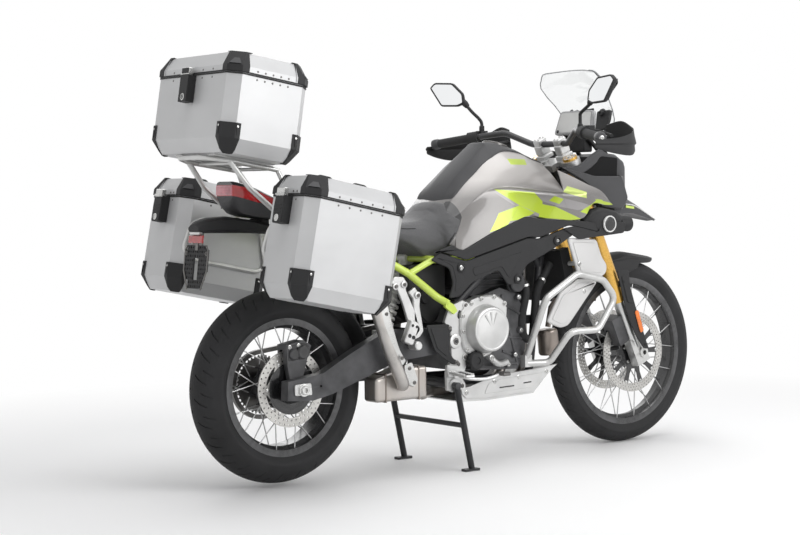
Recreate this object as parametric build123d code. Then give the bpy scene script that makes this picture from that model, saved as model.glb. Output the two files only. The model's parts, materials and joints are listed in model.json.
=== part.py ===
"""Adventure motorcycle with a top case and two side cases, standing on its centre stand.

Row frame: +X forward, +Y to the rider's left, +Z up, millimetres. Shapes are drawn from the rear axle's
station (X = 0 there) and save() moves them so that the origin is the middle of the footprint on the floor.
Every piece that has a twin on the other side is drawn once, on the right (negative Y), and mirrored.
"""

from math import acos, atan2, cos, degrees, hypot, pi, radians, sin, tan
import os

from build123d import *

os.makedirs("parts", exist_ok=True)

# ---------------------------------------------------------------- driving dimensions
WHEELBASE = 1570
ORIGIN_X = 789.0            # middle of the whole length, ahead of the rear axle
STAND_LIFT = 10             # rear tyre's height over the floor on the centre stand

FRONT_TYRE_R, FRONT_TYRE_W = 347.5, 90      # 90/90-21
REAR_TYRE_R, REAR_TYRE_W = 321, 150         # 150/70-17
FRONT_BEAD_R, REAR_BEAD_R = 266.7, 215.9    # bead seats of 21 and 17 inch rims
FRONT_RIM_W, REAR_RIM_W = 62, 108           # between the rim's flanges
TYRE_WALL = 11
RIM_WALL = 5
RIM_FLANGE = 13
FIT = 0.3                   # face to face seat between pieces of one body
RUN = 0.06                  # radial running clearance on an axle or stem
SWING_GAP = 6               # room between a turning piece and its neighbour

FRONT_AXLE_Z = FRONT_TYRE_R
REAR_AXLE_Z = REAR_TYRE_R + STAND_LIFT

SPOKES_PER_SIDE = 18
SPOKE_R = 2.0
AXLE_R = 12.5
AXLE_BORE_R = 9.0
FRONT_DISC_R, REAR_DISC_R = 153, 128
DISC_T = 5
FRONT_DISC_Y = 68           # inner face of each front disc
REAR_DISC_Y = 84            # inner face of the rear disc

RAKE = 24.0                 # steering head angle from upright
FORK_LEAD = 15              # axle ahead of the fork legs' line
CLAMP_OFFSET = 30           # fork legs ahead of the steering axis
FORK_Y = 104                # fork leg from the middle plane
FORK_OUTER_R, FORK_INNER_R = 27, 21
FORK_SPLIT = 224            # along the leg, from its foot to the outer tube's mouth
FORK_TOP = 812
STEM_R = 15
HEAD_TUBE_R = 31
LOWER_CLAMP = (565, 603)    # along the leg
UPPER_CLAMP = (778, 803)
BAR_R = 11.5

CASE_WALL = 2.5
CASE_GAP = 0.5              # between a case's rim and its lid
CORNER_GROW = 3             # thickness of the corner caps
TOP_CASE = dict(length=298, width=482, height=250, lid=66, tilt=9.5)
SIDE_CASE = dict(length=378, width=243, height=318, lid=64, tilt=11.7)
CASE_BEVEL = 36             # upright corners' bevel
CASE_FOOT = 44              # height of the bevel round a case's floor
CASE_FOOT_IN = 26           # how far that bevel goes in
LID_BAND = 22               # upright part of a lid
LID_IN = 22                 # how far a lid's slope goes in
TOP_CASE_AT = (-336, 0, 1107)       # rear, middle, floor of the top case
SIDE_CASE_AT = (-248, 374.5, 655)     # rear, middle and floor of a side case
HINGE_OUT = 5               # lid hinge axis ahead of the case's front wall
KNUCKLE_R = 4               # hinge barrels
KNUCKLE_HALF = 13.5         # half-length of the barrel on the case, between the lid's two

# ---------------------------------------------------------------- shape helpers


def outline(start, *steps):
    """Closed face in a plane of (u, v) pairs. A step is a point, or (middle, end) for an arc."""
    edges, here = [], start
    for step in steps:
        if isinstance(step[0], tuple):
            edges.append(ThreePointArc(here, step[0], step[1]))
            here = step[1]
        else:
            edges.append(Line(here, step))
            here = step
    if here != start:
        edges.append(Line(here, start))
    return make_face(edges)


def plate(points, y0, y1):
    """Outline of (x, z) points, solid from y0 to y1."""
    face = make_face(Polyline(*[(x, y0, z) for x, z in points], close=True))
    return extrude(face, amount=abs(y1 - y0), dir=(0, 1 if y1 > y0 else -1, 0))


def block(x0, x1, y0, y1, z0, z1):
    """Box between two corners."""
    return Pos((x0 + x1) / 2, (y0 + y1) / 2, (z0 + z1) / 2) * Box(abs(x1 - x0), abs(y1 - y0), abs(z1 - z0))


def rod(a, b, r):
    """Round bar from a to b."""
    a, b = Vector(*a), Vector(*b)
    return extrude(Plane(origin=a, z_dir=(b - a)) * Circle(r), amount=(b - a).length)


def tube(points, r, bend):
    """Round bar along a path whose corners are arcs of radius bend, or of a list of radii."""
    if len(points) == 2:
        return rod(*points, r)
    path = FilletPolyline(*[Vector(*p) for p in points], radius=bend)
    return sweep(Plane(origin=path @ 0, z_dir=path % 0) * Circle(r), path=path)


def across(x, z, r, y0, y1):
    """Round bar along Y at (x, z)."""
    return rod((x, y0, z), (x, y1, z), r)


def turned(face, x, z):
    """Face of (radius, y) points turned round the Y line through (x, z)."""
    return Pos(x, 0, z) * revolve(face, axis=Axis.Y, revolution_arc=360)


def lofted(sections):
    """Solid through closed sections of (x, y, z) points."""
    return loft([make_face(Polyline(*s, close=True)) for s in sections], ruled=True)


def half_section(x, points):
    """Full cross-section at x from its right half's (half-width, z) points, top first."""
    right = [(x, -w, z) for w, z in points]
    left = [(x, w, z) for w, z in reversed(points) if w > 0]
    return right + left


def mirrored(shape):
    return mirror(shape, about=Plane.XZ)


def fused(*shapes):
    total = shapes[0]
    for s in shapes[1:]:
        total = total + s
    return total


NODES = {}


def save(name, *shapes):
    """Keeps a node: its solids, moved from the rear axle's station to the row's origin."""
    solids = [s for shape in shapes for s in shape.solids()]
    moved = [Pos(-ORIGIN_X, 0, 0) * s for s in solids]
    NODES[name] = moved
    export_step(Compound(moved) if len(moved) > 1 else moved[0], f"parts/{name}.step")


# ---------------------------------------------------------------- steering geometry
UP = (-sin(radians(RAKE)), cos(radians(RAKE)))          # along the fork, in (x, z)
AHEAD = (cos(radians(RAKE)), sin(radians(RAKE)))        # square to it, forward
FORK_FOOT = (WHEELBASE - FORK_LEAD * AHEAD[0], FRONT_AXLE_Z - FORK_LEAD * AHEAD[1])
STEER_FOOT = (FORK_FOOT[0] - CLAMP_OFFSET * AHEAD[0], FORK_FOOT[1] - CLAMP_OFFSET * AHEAD[1])


def on_fork(s, y=0.0, ahead=0.0):
    """Point s up the fork legs' line and so far ahead of it."""
    return (FORK_FOOT[0] + s * UP[0] + ahead * AHEAD[0], y, FORK_FOOT[1] + s * UP[1] + ahead * AHEAD[1])


def on_axis(s, ahead=0.0):
    """The same along the steering axis, in the middle plane."""
    return on_fork(s, 0.0, ahead - CLAMP_OFFSET)


def fork_block(s0, s1, a0, a1, y0, y1):
    """Box lying with the fork: s along it, a ahead of it."""
    corners = [on_fork(s, 0, a) for s, a in ((s0, a0), (s1, a0), (s1, a1), (s0, a1))]
    return plate([(p[0], p[2]) for p in corners], y0, y1)


# ---------------------------------------------------------------- wheels


def tyre(outer_r, width, bead_r, rim_w, x, z):
    bead_y = rim_w / 2 - FIT
    inner_y = bead_y - TYRE_WALL
    low, flange = bead_r + FIT, bead_r + RIM_FLANGE + 3
    shoulder = (outer_r - 0.3 * width, 0.45 * width)
    wide_r = (flange + shoulder[0]) / 2
    face = outline(
        (low, -bead_y),
        (flange, -bead_y),
        ((wide_r, -width / 2), (shoulder[0], -shoulder[1])),
        ((outer_r, 0), shoulder),
        ((wide_r, width / 2), (flange, bead_y)),
        (low, bead_y),
        (low, inner_y),
        (flange, inner_y),
        ((wide_r, width / 2 - TYRE_WALL), (shoulder[0] - TYRE_WALL, shoulder[1] - TYRE_WALL)),
        ((outer_r - TYRE_WALL, 0), (shoulder[0] - TYRE_WALL, TYRE_WALL - shoulder[1])),
        ((wide_r, TYRE_WALL - width / 2), (flange, -inner_y)),
        (low, -inner_y),
    )
    return turned(face, x, z)


def rim(bead_r, rim_w, x, z):
    seat, well, half = bead_r, bead_r - 16, rim_w / 2
    face = outline(
        (bead_r + RIM_FLANGE, -half), (seat, -half), (seat, -half + 14), (well, -half + 22),
        (well, half - 22), (seat, half - 14), (seat, half), (bead_r + RIM_FLANGE, half),
        (bead_r + RIM_FLANGE, half + RIM_WALL), (seat - RIM_WALL - 4, half + RIM_WALL),
        (seat - RIM_WALL - 4, half - 14), (well - RIM_WALL, half - 24),
        (well - RIM_WALL, -half + 24), (seat - RIM_WALL - 4, -half + 14),
        (seat - RIM_WALL - 4, -half - RIM_WALL), (bead_r + RIM_FLANGE, -half - RIM_WALL),
    )
    return turned(face, x, z)


def hub(flange_y, flange_r, core_r, x, z):
    """Hub with two spoke flanges, bored for its axle."""
    bore = AXLE_R + RUN
    face = outline(
        (bore, -flange_y), (flange_r, -flange_y), (flange_r, -flange_y + 9), (core_r, -flange_y + 16),
        (core_r, flange_y - 16), (flange_r, flange_y - 9), (flange_r, flange_y), (bore, flange_y),
    )
    return turned(face, x, z)


def spokes(flange_y, flange_r, bead_r, rim_w, x, z):
    """Crossed wire spokes from the hub's flanges to the rim's edges."""
    end_r = bead_r - RIM_WALL - 4 - 3 * FIT
    made = []
    for side in (-1, 1):
        for k in range(SPOKES_PER_SIDE):
            turn = 2 * pi * (k + (side + 1) / 4) / SPOKES_PER_SIDE
            lean = radians(52) * (1 if k % 2 else -1)
            y0 = side * (flange_y - (3 if k % 2 else 7))
            y1 = side * (rim_w / 2 - 4)
            a = (x + (flange_r - 5) * cos(turn - lean), y0, z + (flange_r - 5) * sin(turn - lean))
            b = (x + end_r * cos(turn), y1, z + end_r * sin(turn))
            made.append(rod(a, b, SPOKE_R))
    return made


def disc(outer_r, band, y0, spider_r, hole_r, x, z):
    """Brake disc ring on its spider."""
    ring = across(x, z, outer_r, y0, y0 + DISC_T) - across(x, z, outer_r - band, y0 - 1, y0 + DISC_T + 1)
    arms = across(x, z, spider_r, y0, y0 + DISC_T)
    for k in range(5):
        turn = 2 * pi * k / 5
        reach = outer_r - band + 4
        arm = Pos(x, y0 + DISC_T / 2, z) * Rot(0, degrees(turn), 0) * (
            Pos(reach / 2, 0, 0) * Box(reach, DISC_T - 2, 26))
        arms = arms + arm
    return fused(ring, arms) - across(x, z, hole_r, y0 - 1, y0 + DISC_T + 1)


def front_wheel():
    x, z = WHEELBASE, FRONT_AXLE_Z
    flange_y, flange_r = 54, 46
    save("front_tyre", tyre(FRONT_TYRE_R, FRONT_TYRE_W, FRONT_BEAD_R, FRONT_RIM_W, x, z))
    save("front_rim", rim(FRONT_BEAD_R, FRONT_RIM_W, x, z))
    boss = across(x, z, 40, FIT - FRONT_DISC_Y, FRONT_DISC_Y - FIT)
    body = hub(flange_y, flange_r, 26, x, z) + boss - across(x, z, AXLE_R + RUN, -90, 90)
    save("front_hub", fused(body, *spokes(flange_y, flange_r, FRONT_BEAD_R, FRONT_RIM_W, x, z)))
    right = disc(FRONT_DISC_R, 30, -FRONT_DISC_Y - DISC_T, 50, 30, x, z)
    save("front_discs", right, mirrored(right))


def rear_wheel():
    x, z = 0, REAR_AXLE_Z
    flange_y, flange_r = 60, 56
    save("rear_tyre", tyre(REAR_TYRE_R, REAR_TYRE_W, REAR_BEAD_R, REAR_RIM_W, x, z))
    save("rear_rim", rim(REAR_BEAD_R, REAR_RIM_W, x, z))
    core = fused(hub(flange_y, flange_r, 38, x, z), *spokes(flange_y, flange_r, REAR_BEAD_R, REAR_RIM_W, x, z))
    boss = across(x, z, 34, -REAR_DISC_Y + FIT, REAR_DISC_Y - FIT)
    core = core + boss - across(x, z, AXLE_R + RUN, -200, 200)
    save("rear_hub", core)
    plain = disc(REAR_DISC_R, 34, -REAR_DISC_Y - DISC_T, 50, 30, x, z)
    save("rear_rotors", plain, sprocket(x, z))


SPROCKET_R, SPROCKET_TEETH = 100, 42
FRONT_SPROCKET_R = 38
CHAIN_Y = (86, 102)
CHAIN_BAND = 15
COUNTERSHAFT = (694, 476)


def sprocket(x, z):
    """Rear sprocket with teeth and lightening holes."""
    y0, y1 = CHAIN_Y[0] + 4, CHAIN_Y[1] - 4
    wheel = across(x, z, SPROCKET_R - 6, y0, y1)
    wheel = wheel + across(x, z, 34, REAR_DISC_Y, y0)
    pitch = 2 * pi / SPROCKET_TEETH
    rim_points = []
    for k in range(SPROCKET_TEETH):
        for share, r in ((-0.32, SPROCKET_R - 8), (-0.1, SPROCKET_R), (0.1, SPROCKET_R), (0.32, SPROCKET_R - 8)):
            rim_points.append((x + r * cos((k + share) * pitch), z + r * sin((k + share) * pitch)))
    wheel = wheel + plate(rim_points, y0, y1)
    for k in range(6):
        wheel = wheel - across(x + 70 * cos(k * pi / 3), z + 70 * sin(k * pi / 3), 15, y0 - 1, y1 + 1)
    return wheel - across(x, z, AXLE_R + RUN, REAR_DISC_Y - 1, y1 + 1)


def belt(big, big_r, small, small_r):
    """Face round two pulleys: the hull of two circles, as (x, z) outline with arcs."""
    dx, dz = small[0] - big[0], small[1] - big[1]
    base = atan2(dz, dx)
    open_angle = acos((big_r - small_r) / hypot(dx, dz))

    def at(centre, r, a):
        return (centre[0] + r * cos(a), centre[1] + r * sin(a))

    a, b = base + open_angle, base - open_angle
    return outline(
        at(big, big_r, a), (at(big, big_r, base + pi), at(big, big_r, b)),
        at(small, small_r, b), (at(small, small_r, base), at(small, small_r, a)),
    )


def drive_chain():
    """Chain as one fixed loop round both sprockets, with its guard's gap to the teeth."""
    big, small = (0, REAR_AXLE_Z), COUNTERSHAFT
    gap = 2
    y0, y1 = CHAIN_Y
    outer = belt(big, SPROCKET_R + gap + CHAIN_BAND, small, FRONT_SPROCKET_R + CHAIN_BAND)
    inner = belt(big, SPROCKET_R + gap, small, FRONT_SPROCKET_R)
    lay = Plane(origin=(0, y1, 0), x_dir=(1, 0, 0), z_dir=(0, -1, 0))
    loop = extrude(lay * outer, amount=y1 - y0) - extrude(lay * inner, amount=y1 - y0)
    front = across(*small, FRONT_SPROCKET_R - FIT, y0 + 3, y1 - 3)
    front = front + across(*small, 22, CHAIN_Y[0] - 8 + FIT, y0 + 3)
    save("drive_chain", loop, front)


# ---------------------------------------------------------------- frame and engine
PIVOT = (619, 452)          # swingarm pivot
SPINDLE_R = 14
STAND_PIVOT = (612, 300)
STAND_TUBE_R = 12
HEAD_S = (612, 770)         # head tube along the steering axis
SPAR_R, CRADLE_R, RAIL_R = 17, 15, 13
SPAR_Y = 134
CRADLE_Y = 112
PLATE_Y = (160, 174)        # pivot plates
COWL_Y = 150                # inner faces of the fairing's shoulders
FAIRING_STAY = (1385, 980)
SIDE_PIVOT = Vector(700, 225, 304)
SIDE_AXIS = Vector(-0.035, -0.926, -0.3465).normalized()
SIDE_HEAD = 30              # length of the side stand's head along its pin
CROSS_TUBES = ((646, 574, 13), (656, 306, 10))      # x, z, radius: from plate to plate


def main_frame():
    """Welded steel tubes: spars to the pivot plates, a cradle, engine mounts and the fairing's stay."""
    head = rod(on_axis(HEAD_S[0]), on_axis(HEAD_S[1]), HEAD_TUBE_R)
    mid, low = on_axis(706), on_axis(640)
    right = fused(
        tube([(mid[0] - 8, -14, mid[2]), (1130, -SPAR_Y, 866), (800, -SPAR_Y, 692), (660, -SPAR_Y, 578)],
             SPAR_R, 40),
        tube([(low[0] - 8, -12, low[2]), (1130, -70, 802), (1062, -CRADLE_Y, 690), (1012, -CRADLE_Y, 300),
              (656, -CRADLE_Y, 306)], CRADLE_R - 1, [40, 50, 50]),
        tube([(1062, -CRADLE_Y, 690), (985, -SPAR_Y, 786)], CRADLE_R - 3, 10),
        block(646, 672, -SPAR_Y - 12, -SPAR_Y + 12, 562, 592),
        block(972 + FIT, 1036, -CRADLE_Y - 10, -CRADLE_Y + 10, 488, 518),
    )
    cross = [across(x, z, r, FIT - PLATE_Y[0], PLATE_Y[0] - FIT) for x, z, r in CROSS_TUBES]
    sx, sz = FAIRING_STAY
    stay = fused(rod(on_axis(690), (sx, 0, sz), 12), across(sx, sz, 10, FIT - COWL_Y, COWL_Y - FIT),
                 rod((sx, 0, sz), (sx, 0, 1069.8), 9))
    lug_from = SIDE_PIVOT + SIDE_AXIS * (SIDE_HEAD / 2 + FIT)
    lug_mid = SIDE_PIVOT + SIDE_AXIS * 52
    side_lug = tube([tuple(lug_from), tuple(lug_mid), (700, 128, 299), (700, CRADLE_Y, 304)], 12, [16, 10])
    bore = rod(on_axis(HEAD_S[0] - 5), on_axis(HEAD_S[1] + 5), STEM_R + RUN)
    save("main_frame", fused(head, right, mirrored(right), *cross, stay, side_lug) - bore)


PIVOT_PLATE = ((640, 590), (600, 570), (566, 520), (592, 440), (598, 400), (572, 340), (584, 282),
               (668, 280), (672, 320), (642, 350), (642, 452), (642, 520), (662, 566), (662, 590))


def pivot_plates():
    """Cast plates that carry the swingarm's spindle, the centre stand and the footrests."""
    y0, y1 = PLATE_Y
    right = plate(PIVOT_PLATE, -y1, -y0) + across(*PIVOT, 21, -y1 - 8, -y1)
    right = right - plate(((626, 556), (606, 540), (614, 506), (630, 520)), -y1 - 1, -y0 + 1)
    right = right - across(*PIVOT, SPINDLE_R + RUN, -200, 200) - across(*STAND_PIVOT, STAND_TUBE_R + RUN, -200, 200)
    save("pivot_plates", right, mirrored(right), across(*PIVOT, SPINDLE_R, -y1 - 12, y1 + 12))


RAIL_Y = 118
SUBFRAME_TIES = (           # x, z, radius, half-length
    (548, 736, 12, 150),
    (300, 773, 9, 124),
    (80, 840, 9, RAIL_Y),
)


def subframe():
    """Painted rear frame: rails that meet at a node each side, lugs on the frame, cross tubes."""
    node, lug_y = (446, 690), PLATE_Y[1] + FIT
    right = fused(
        tube([(592, -lug_y - 5, 582), (560, -156, 606), (node[0], -150, node[1]), (250, -RAIL_Y, 800),
              (-60, -RAIL_Y, 872)], RAIL_R, [40, 60, 60]),
        plate(((580, 596), (612, 578), (626, 556), (610, 546), (574, 572)), -lug_y - 12, -lug_y),
        tube([(node[0], -150, node[1]), (548, -150, 734), (700, -156, 734), (782, -160, 706)], RAIL_R - 2, [40, 60]),
        across(778, 706, 16, -SPAR_Y - SPAR_R - 14, -SPAR_Y - SPAR_R - FIT),
    )
    ties = [across(x, z, r, -y, y) for x, z, r, y in SUBFRAME_TIES]
    save("subframe", fused(right, mirrored(right), *ties))


ENGINE_Y = 143


def engine():
    """Crankcase with the tilted pair of cylinders over it, pocketed for the chain's front sprocket."""
    case = plate(((656, 345), (930, 332), (968, 400), (972, 520), (930, 600), (850, 625), (740, 590),
                  (690, 540), (656, 510)), -ENGINE_Y, ENGINE_Y)
    cylinders = plate(((742, 600), (930, 596), (956, 770), (770, 792)), -106, 106)
    head = plate(((756, 770), (966, 748), (976, 818), (940, 846), (790, 856), (764, 832)), -112, 112)
    mouths = fused(*[rod((955, y, 792.5), (988, y, 776), 24) for y in (-58, 58)])
    pocket = block(600, COUNTERSHAFT[0] + 62, CHAIN_Y[0] - 8, ENGINE_Y + 10, COUNTERSHAFT[1] - 76,
                   COUNTERSHAFT[1] + 62)
    save("engine_block", fused(case, cylinders, head, mouths) - pocket)


CLUTCH = (748, 488)
GENERATOR = (824, 470)


def engine_covers():
    """Round side covers with their bolt bosses: clutch on the right, generator on the left."""
    made = []
    for centre, r_base, r_face, y_face, side in ((CLUTCH, 92, 78, 226, -1), (GENERATOR, 86, 64, 206, 1)):
        y0 = ENGINE_Y + FIT
        cover = fused(across(*centre, r_base, y0, y_face - 26), across(*centre, r_face, y_face - 26, y_face))
        for k in range(10):
            a = 2 * pi * (k + 0.5) / 10
            cover = cover + across(centre[0] + r_base * cos(a), centre[1] + r_base * sin(a), 9, y0, y_face - 34)
        made.append(cover if side > 0 else mirrored(cover))
    filter_can = across(700, 382, 30, -ENGINE_Y - FIT - 52, -ENGINE_Y - FIT)
    save("engine_covers", *made, filter_can)


PIPE_R = 19
CHAMBER = ((290, 264), (508, 264), (508, 376), (404, 376), (290, 344))


def exhaust():
    """Two header pipes that join under the engine, a chamber on the right and the link up to the silencer."""
    z = 264
    pipes = [tube([(988 + FIT, y, 776), (1024, y, 758), (1026, y, z + 20), (820, y * 0.35, z), (740, y * 0.2, z)],
                  PIPE_R, [22, 60, 50]) for y in (-58, 58)]
    merge = tube([(770, 0, z), (640, 0, z), (560, -66, z), (470, -126, 305)], PIPE_R, [60, 60])
    chamber = fillet(plate(CHAMBER, -166, -90).edges(), 12)
    riser = tube([(420, -130, 320), (380, -198, 320), (318, -206, 440), (262, -206, 592), LINK_END], 22,
                 [34, 60, 50])
    save("exhaust", fused(*pipes, merge, chamber, riser))


SILENCER = (38, 52)         # half-width and half-height of the oval can
LINK_END = (150, -186, 672)


def silencer():
    """Oval can, tapered to its inlet, with an open end pipe."""
    a, b = Vector(*LINK_END), Vector(-210, -176, 742)
    way = (a - Vector(262, -206, 592)).normalized()
    run = (b - a).normalized()
    inlet = extrude(Plane(origin=a + way * FIT, z_dir=way) * Circle(24), amount=30)
    body = extrude(Plane(origin=a + run * 30, x_dir=(0, 1, 0), z_dir=run) * Ellipse(*SILENCER),
                   amount=(b - a).length - 30)
    neck = extrude(Plane(origin=a + run * 14, z_dir=run) * Circle(28), amount=20)
    tip = extrude(Plane(origin=b, z_dir=run) * Circle(24), amount=24)
    bore = extrude(Plane(origin=b - run * 60, z_dir=run) * Circle(20), amount=90)
    save("silencer", fused(inlet, neck, body, tip) - bore)


def radiator():
    """Core leaning with the fork between its two end tanks."""
    core = plate(((1112.5, 745), (1146, 752), (1194, 568), (1160.5, 558)), -150, 150)
    tanks = [plate(((1108.5, 748), (1150, 758), (1200, 564), (1156.5, 552)), side * 150, side * 176)
             for side in (-1, 1)]
    save("radiator", fused(core, *tanks))


PANEL_Y = (222, 234)


def radiator_panels():
    """Pale side plates: one beside the radiator and one lower in each crash bar."""
    y0, y1 = PANEL_Y
    upper = plate(((1097, 794), (1236, 786), (1262, 720), (1288, 690), (1282, 662), (1262, 650), (1150, 652)),
                  -y1, -y0)
    lower = plate(((1228, 640), (1238, 628), (1098, 482), (1060, 474), (996, 500), (1060, 600), (1150, 646)),
                  -y1 + 2, -y0 + 2)
    stays = [across(1150, 700, 8, -y0, -176 - FIT), across(1172, 600, 8, -y0 + 2, -176 - FIT)]
    parts = [upper + stays[0], lower + stays[1]]
    save("radiator_panels", *parts, *[mirrored(p) for p in parts])


CRASH_R = 12.5


def crash_bars():
    """Bent tube guard each side: a loop ahead of the engine, its rear leg and a tie."""
    right = tube(
        [(960, -158, 370), (966, -258, 584), (1106, -272, 668), (1226, -276, 640), (1284, -276, 574),
         (1206, -268, 462), (1086, -254, 462), (1040, -190, 350), (960, -158, 350)],
        CRASH_R, [40, 45, 45, 35, 40, 45, 30])
    tie = rod((1050, -262, 634), (1062, -132, 640), 8)
    foot = block(944, 976, -170, -ENGINE_Y - FIT, 338, 380)
    right = fused(right, foot)
    save("crash_bars", right, mirrored(right))


def skid_plate():
    """Folded alloy sheet under the engine, with upturned sides and nose."""
    t = 4
    line = ((660, 236), (780, 232), (1000, 240), (1090, 322))
    floor = plate(line + tuple((x - 1, z + t) for x, z in reversed(line)), -146, 146)
    cheek = plate(line + ((1066, 340), (990, 300), (800, 282), (666, 268)), -146, -146 + t)
    cheek = cheek - block(840, 905, -160, -130, 258, 266)
    lugs = [block(x, x + 30, -CRADLE_Y - 14, -CRADLE_Y + 14, z0, z1)
            for x, z0, z1 in ((720, 236, 290.1), (940, 240, 286.3))]
    right = fused(cheek, *lugs)
    save("skid_plate", fused(floor, right, mirrored(right)))


# ---------------------------------------------------------------- swingarm and shock
ARM_Y = (118, 158)
SPOOL = (72, 338)           # stand spool's thread in each arm: x, z
SPOOL_R, SPOOL_DEEP = 4.0, 24


def swingarm():
    """Two cast arms joined by a bridge and the spindle's tunnel, slotted for the axle, with spool threads."""
    y0, y1 = ARM_Y
    z = REAR_AXLE_Z
    arm = plate(((-56, z + 30), (-60, z - 32), (40, z - 38), (120, z - 22), (380, 396), (560, 412), (600, 418),
                 (646, 424), (646, 480), (600, 486), (540, 500), (350, 506), (200, 440), (80, z + 48)), -y1, -y0)
    tunnel = across(*PIVOT, 27, -y1, y1)
    bridge = block(400, 470, -y0, y0, 402, 466)
    body = fused(arm, mirrored(arm), bridge, tunnel) - across(*PIVOT, SPINDLE_R + RUN, -200, 200)
    body = body - across(0, z, AXLE_R + RUN, -200, 200)
    for side in (-1, 1):
        body = body - across(SPOOL[0], SPOOL[1], SPOOL_R, side * (y1 - SPOOL_DEEP), side * (y1 + 1))
    save("swingarm", body)
    axle = across(0, z, AXLE_R, -y1 - 14, y1 + 14)
    nuts = [across(0, z, 20, side * (y1 + FIT), side * (y1 + 12)) for side in (-1, 1)]
    save("rear_axle", fused(axle, *nuts) - across(0, z, AXLE_BORE_R, -y1 - 20, y1 + 20))


def rear_shock():
    """Spring and damper between the swingarm's bridge and the subframe's cross tube."""
    low, top = Vector(436, 0, 486), Vector(548, 0, 736)
    run = top - low
    body = rod(low, low + run * 0.95, 20)
    for k in range(8):
        body = body + extrude(Plane(origin=low + run * (0.2 + 0.55 * k / 7), z_dir=run) * Circle(31), amount=4, both=True)
    for share in (0.13, 0.82):
        body = body + extrude(Plane(origin=low + run * share, z_dir=run) * Circle(33), amount=5, both=True)
    body = body + block(414, 458, -24, 24, 466 + FIT, 492) + across(548, 736, 22, -22, 22)
    save("rear_shock", body - across(548, 736, 12 + RUN, -30, 30))


def rear_brake():
    """Caliper over the rear disc on its bracket, and its carrier to the swingarm."""
    x, z = 0, REAR_AXLE_Z
    slot0, slot1 = -REAR_DISC_Y - DISC_T - SWING_GAP, -REAR_DISC_Y + SWING_GAP
    body = plate(((-34, z + 84), (40, z + 92), (60, z + 140), (30, z + 158), (-36, z + 146)), -122, -66)
    body = body - across(x, z, REAR_DISC_R + SWING_GAP, slot0, slot1)
    arm = plate(((-20, z + 20), (24, z + 20), (60, z + 140), (30, z + 158), (-34, z + 90)), -ARM_Y[0] + FIT,
                slot0)
    return fused(body, arm) - across(x, z, AXLE_R + RUN, -160, -60)


# ---------------------------------------------------------------- bodywork
TOP_LINE = ((652, 934), (716, 1020), (790, 1116), (930, 1118), (1040, 1090), (1112, 1062))


TANK_ROWS = (       # x, then (half-width, z) of the top's edge, the shoulder, the low edge; underside's z
    (640, (62, 912), (118, 880), (150, 800), 846),
    (716, (72, 1020), (140, 960), (188, 792), 884),
    (790, (78, 1116), (160, 1010), (206, 838), 886),
    (930, (78, 1118), (178, 1010), (226, 878), 888),
    (1040, (76, 1090), (184, 985), (236, 878), 890),
    (1112, (70, 1062), (186, 965), (238, 874), 892),
)
TANK_SADDLE = 153       # half-width of the hollow over the frame


def fuel_tank():
    """Saddle-shaped tank from the seat to the steering head, and the side wings ahead of it."""
    sections = []
    for x, top, shoulder, low, under in TANK_ROWS:
        saddle = min(TANK_SADDLE, low[0] - 44)
        sections.append(half_section(x, ((0, top[1]), top, shoulder, low, (saddle, low[1] - 4), (saddle, under),
                                         (0, under))))
    silver = wing(((1112 + FIT, 884), (1180, 870), (1232, 914), (1336, 905), (1306, 952), (1238, 992),
                   (1112 + FIT, 1036)),
                  186, 200, 18)
    save("fuel_tank", lofted(sections), silver, mirrored(silver))


def tank_cover():
    """Centre cover over the tank, from the seat's nose to the steering head, with the filler cap."""
    t = 14
    low = [(640, 912 + FIT), (716, 1020 + FIT), (790, 1116 + FIT), (930, 1118 + FIT), (1040, 1090 + FIT),
           (1112, 1062 + FIT)]
    up = [(640, 936), (708, 1034), (784, 1116 + t), (930, 1118 + t), (1040, 1090 + t), (1112, 1062 + t)]
    cover = plate(low + up[::-1], -62, 62)
    cap = extrude(Plane(origin=(872, 0, 1117 + t - 2)) * Circle(42), amount=14)
    save("tank_cover", fused(cover, cap))


def wing(points, inner, outer, flare):
    """Side panel: an (x, z) outline whose plane turns out by flare millimetres over its length."""
    x0 = min(p[0] for p in points)
    x1 = max(p[0] for p in points)
    slope = flare / (x1 - x0)

    def ring(y):
        return [(x, -(y + slope * (x - x0)), z) for x, z in points]

    return lofted([ring(inner), ring(outer)])


def side_panels():
    """Lower black panels under the tank and the pods at their front."""
    cover = wing(((524, 748), (630, 720), (640, 735), (790, 830), (900, 866), (1180, 856), (1340, 850),
                  (1330, 802), (1090, 806), (1040, 760), (920, 705), (880, 640), (840, 636), (800, 690),
                  (690, 650), (640, 605), (596, 600), (614, 650), (600, 704)), 192, 204, 26)
    pod = lofted([
        [(1176, -206, 840), (1176, -236, 840), (1176, -236, 858), (1176, -206, 858)],
        [(1240, -196, 806), (1240, -262, 806), (1240, -262, 900), (1240, -196, 900)],
        [(1352, -190, 806), (1352, -256, 812), (1352, -246, 886), (1352, -190, 886)],
    ])
    stay = across(985, 790, 9, -208, -SPAR_Y - SPAR_R - FIT)
    right = fused(cover, pod, stay)
    save("side_panels", right, mirrored(right))


BEAK = (  # x, half-width, top z, bottom z
    (1440, 118, 902, 880), (1540, 96, 948, 876), (1650, 62, 896, 852), (1752, 20, 846, 836),
)


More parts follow.
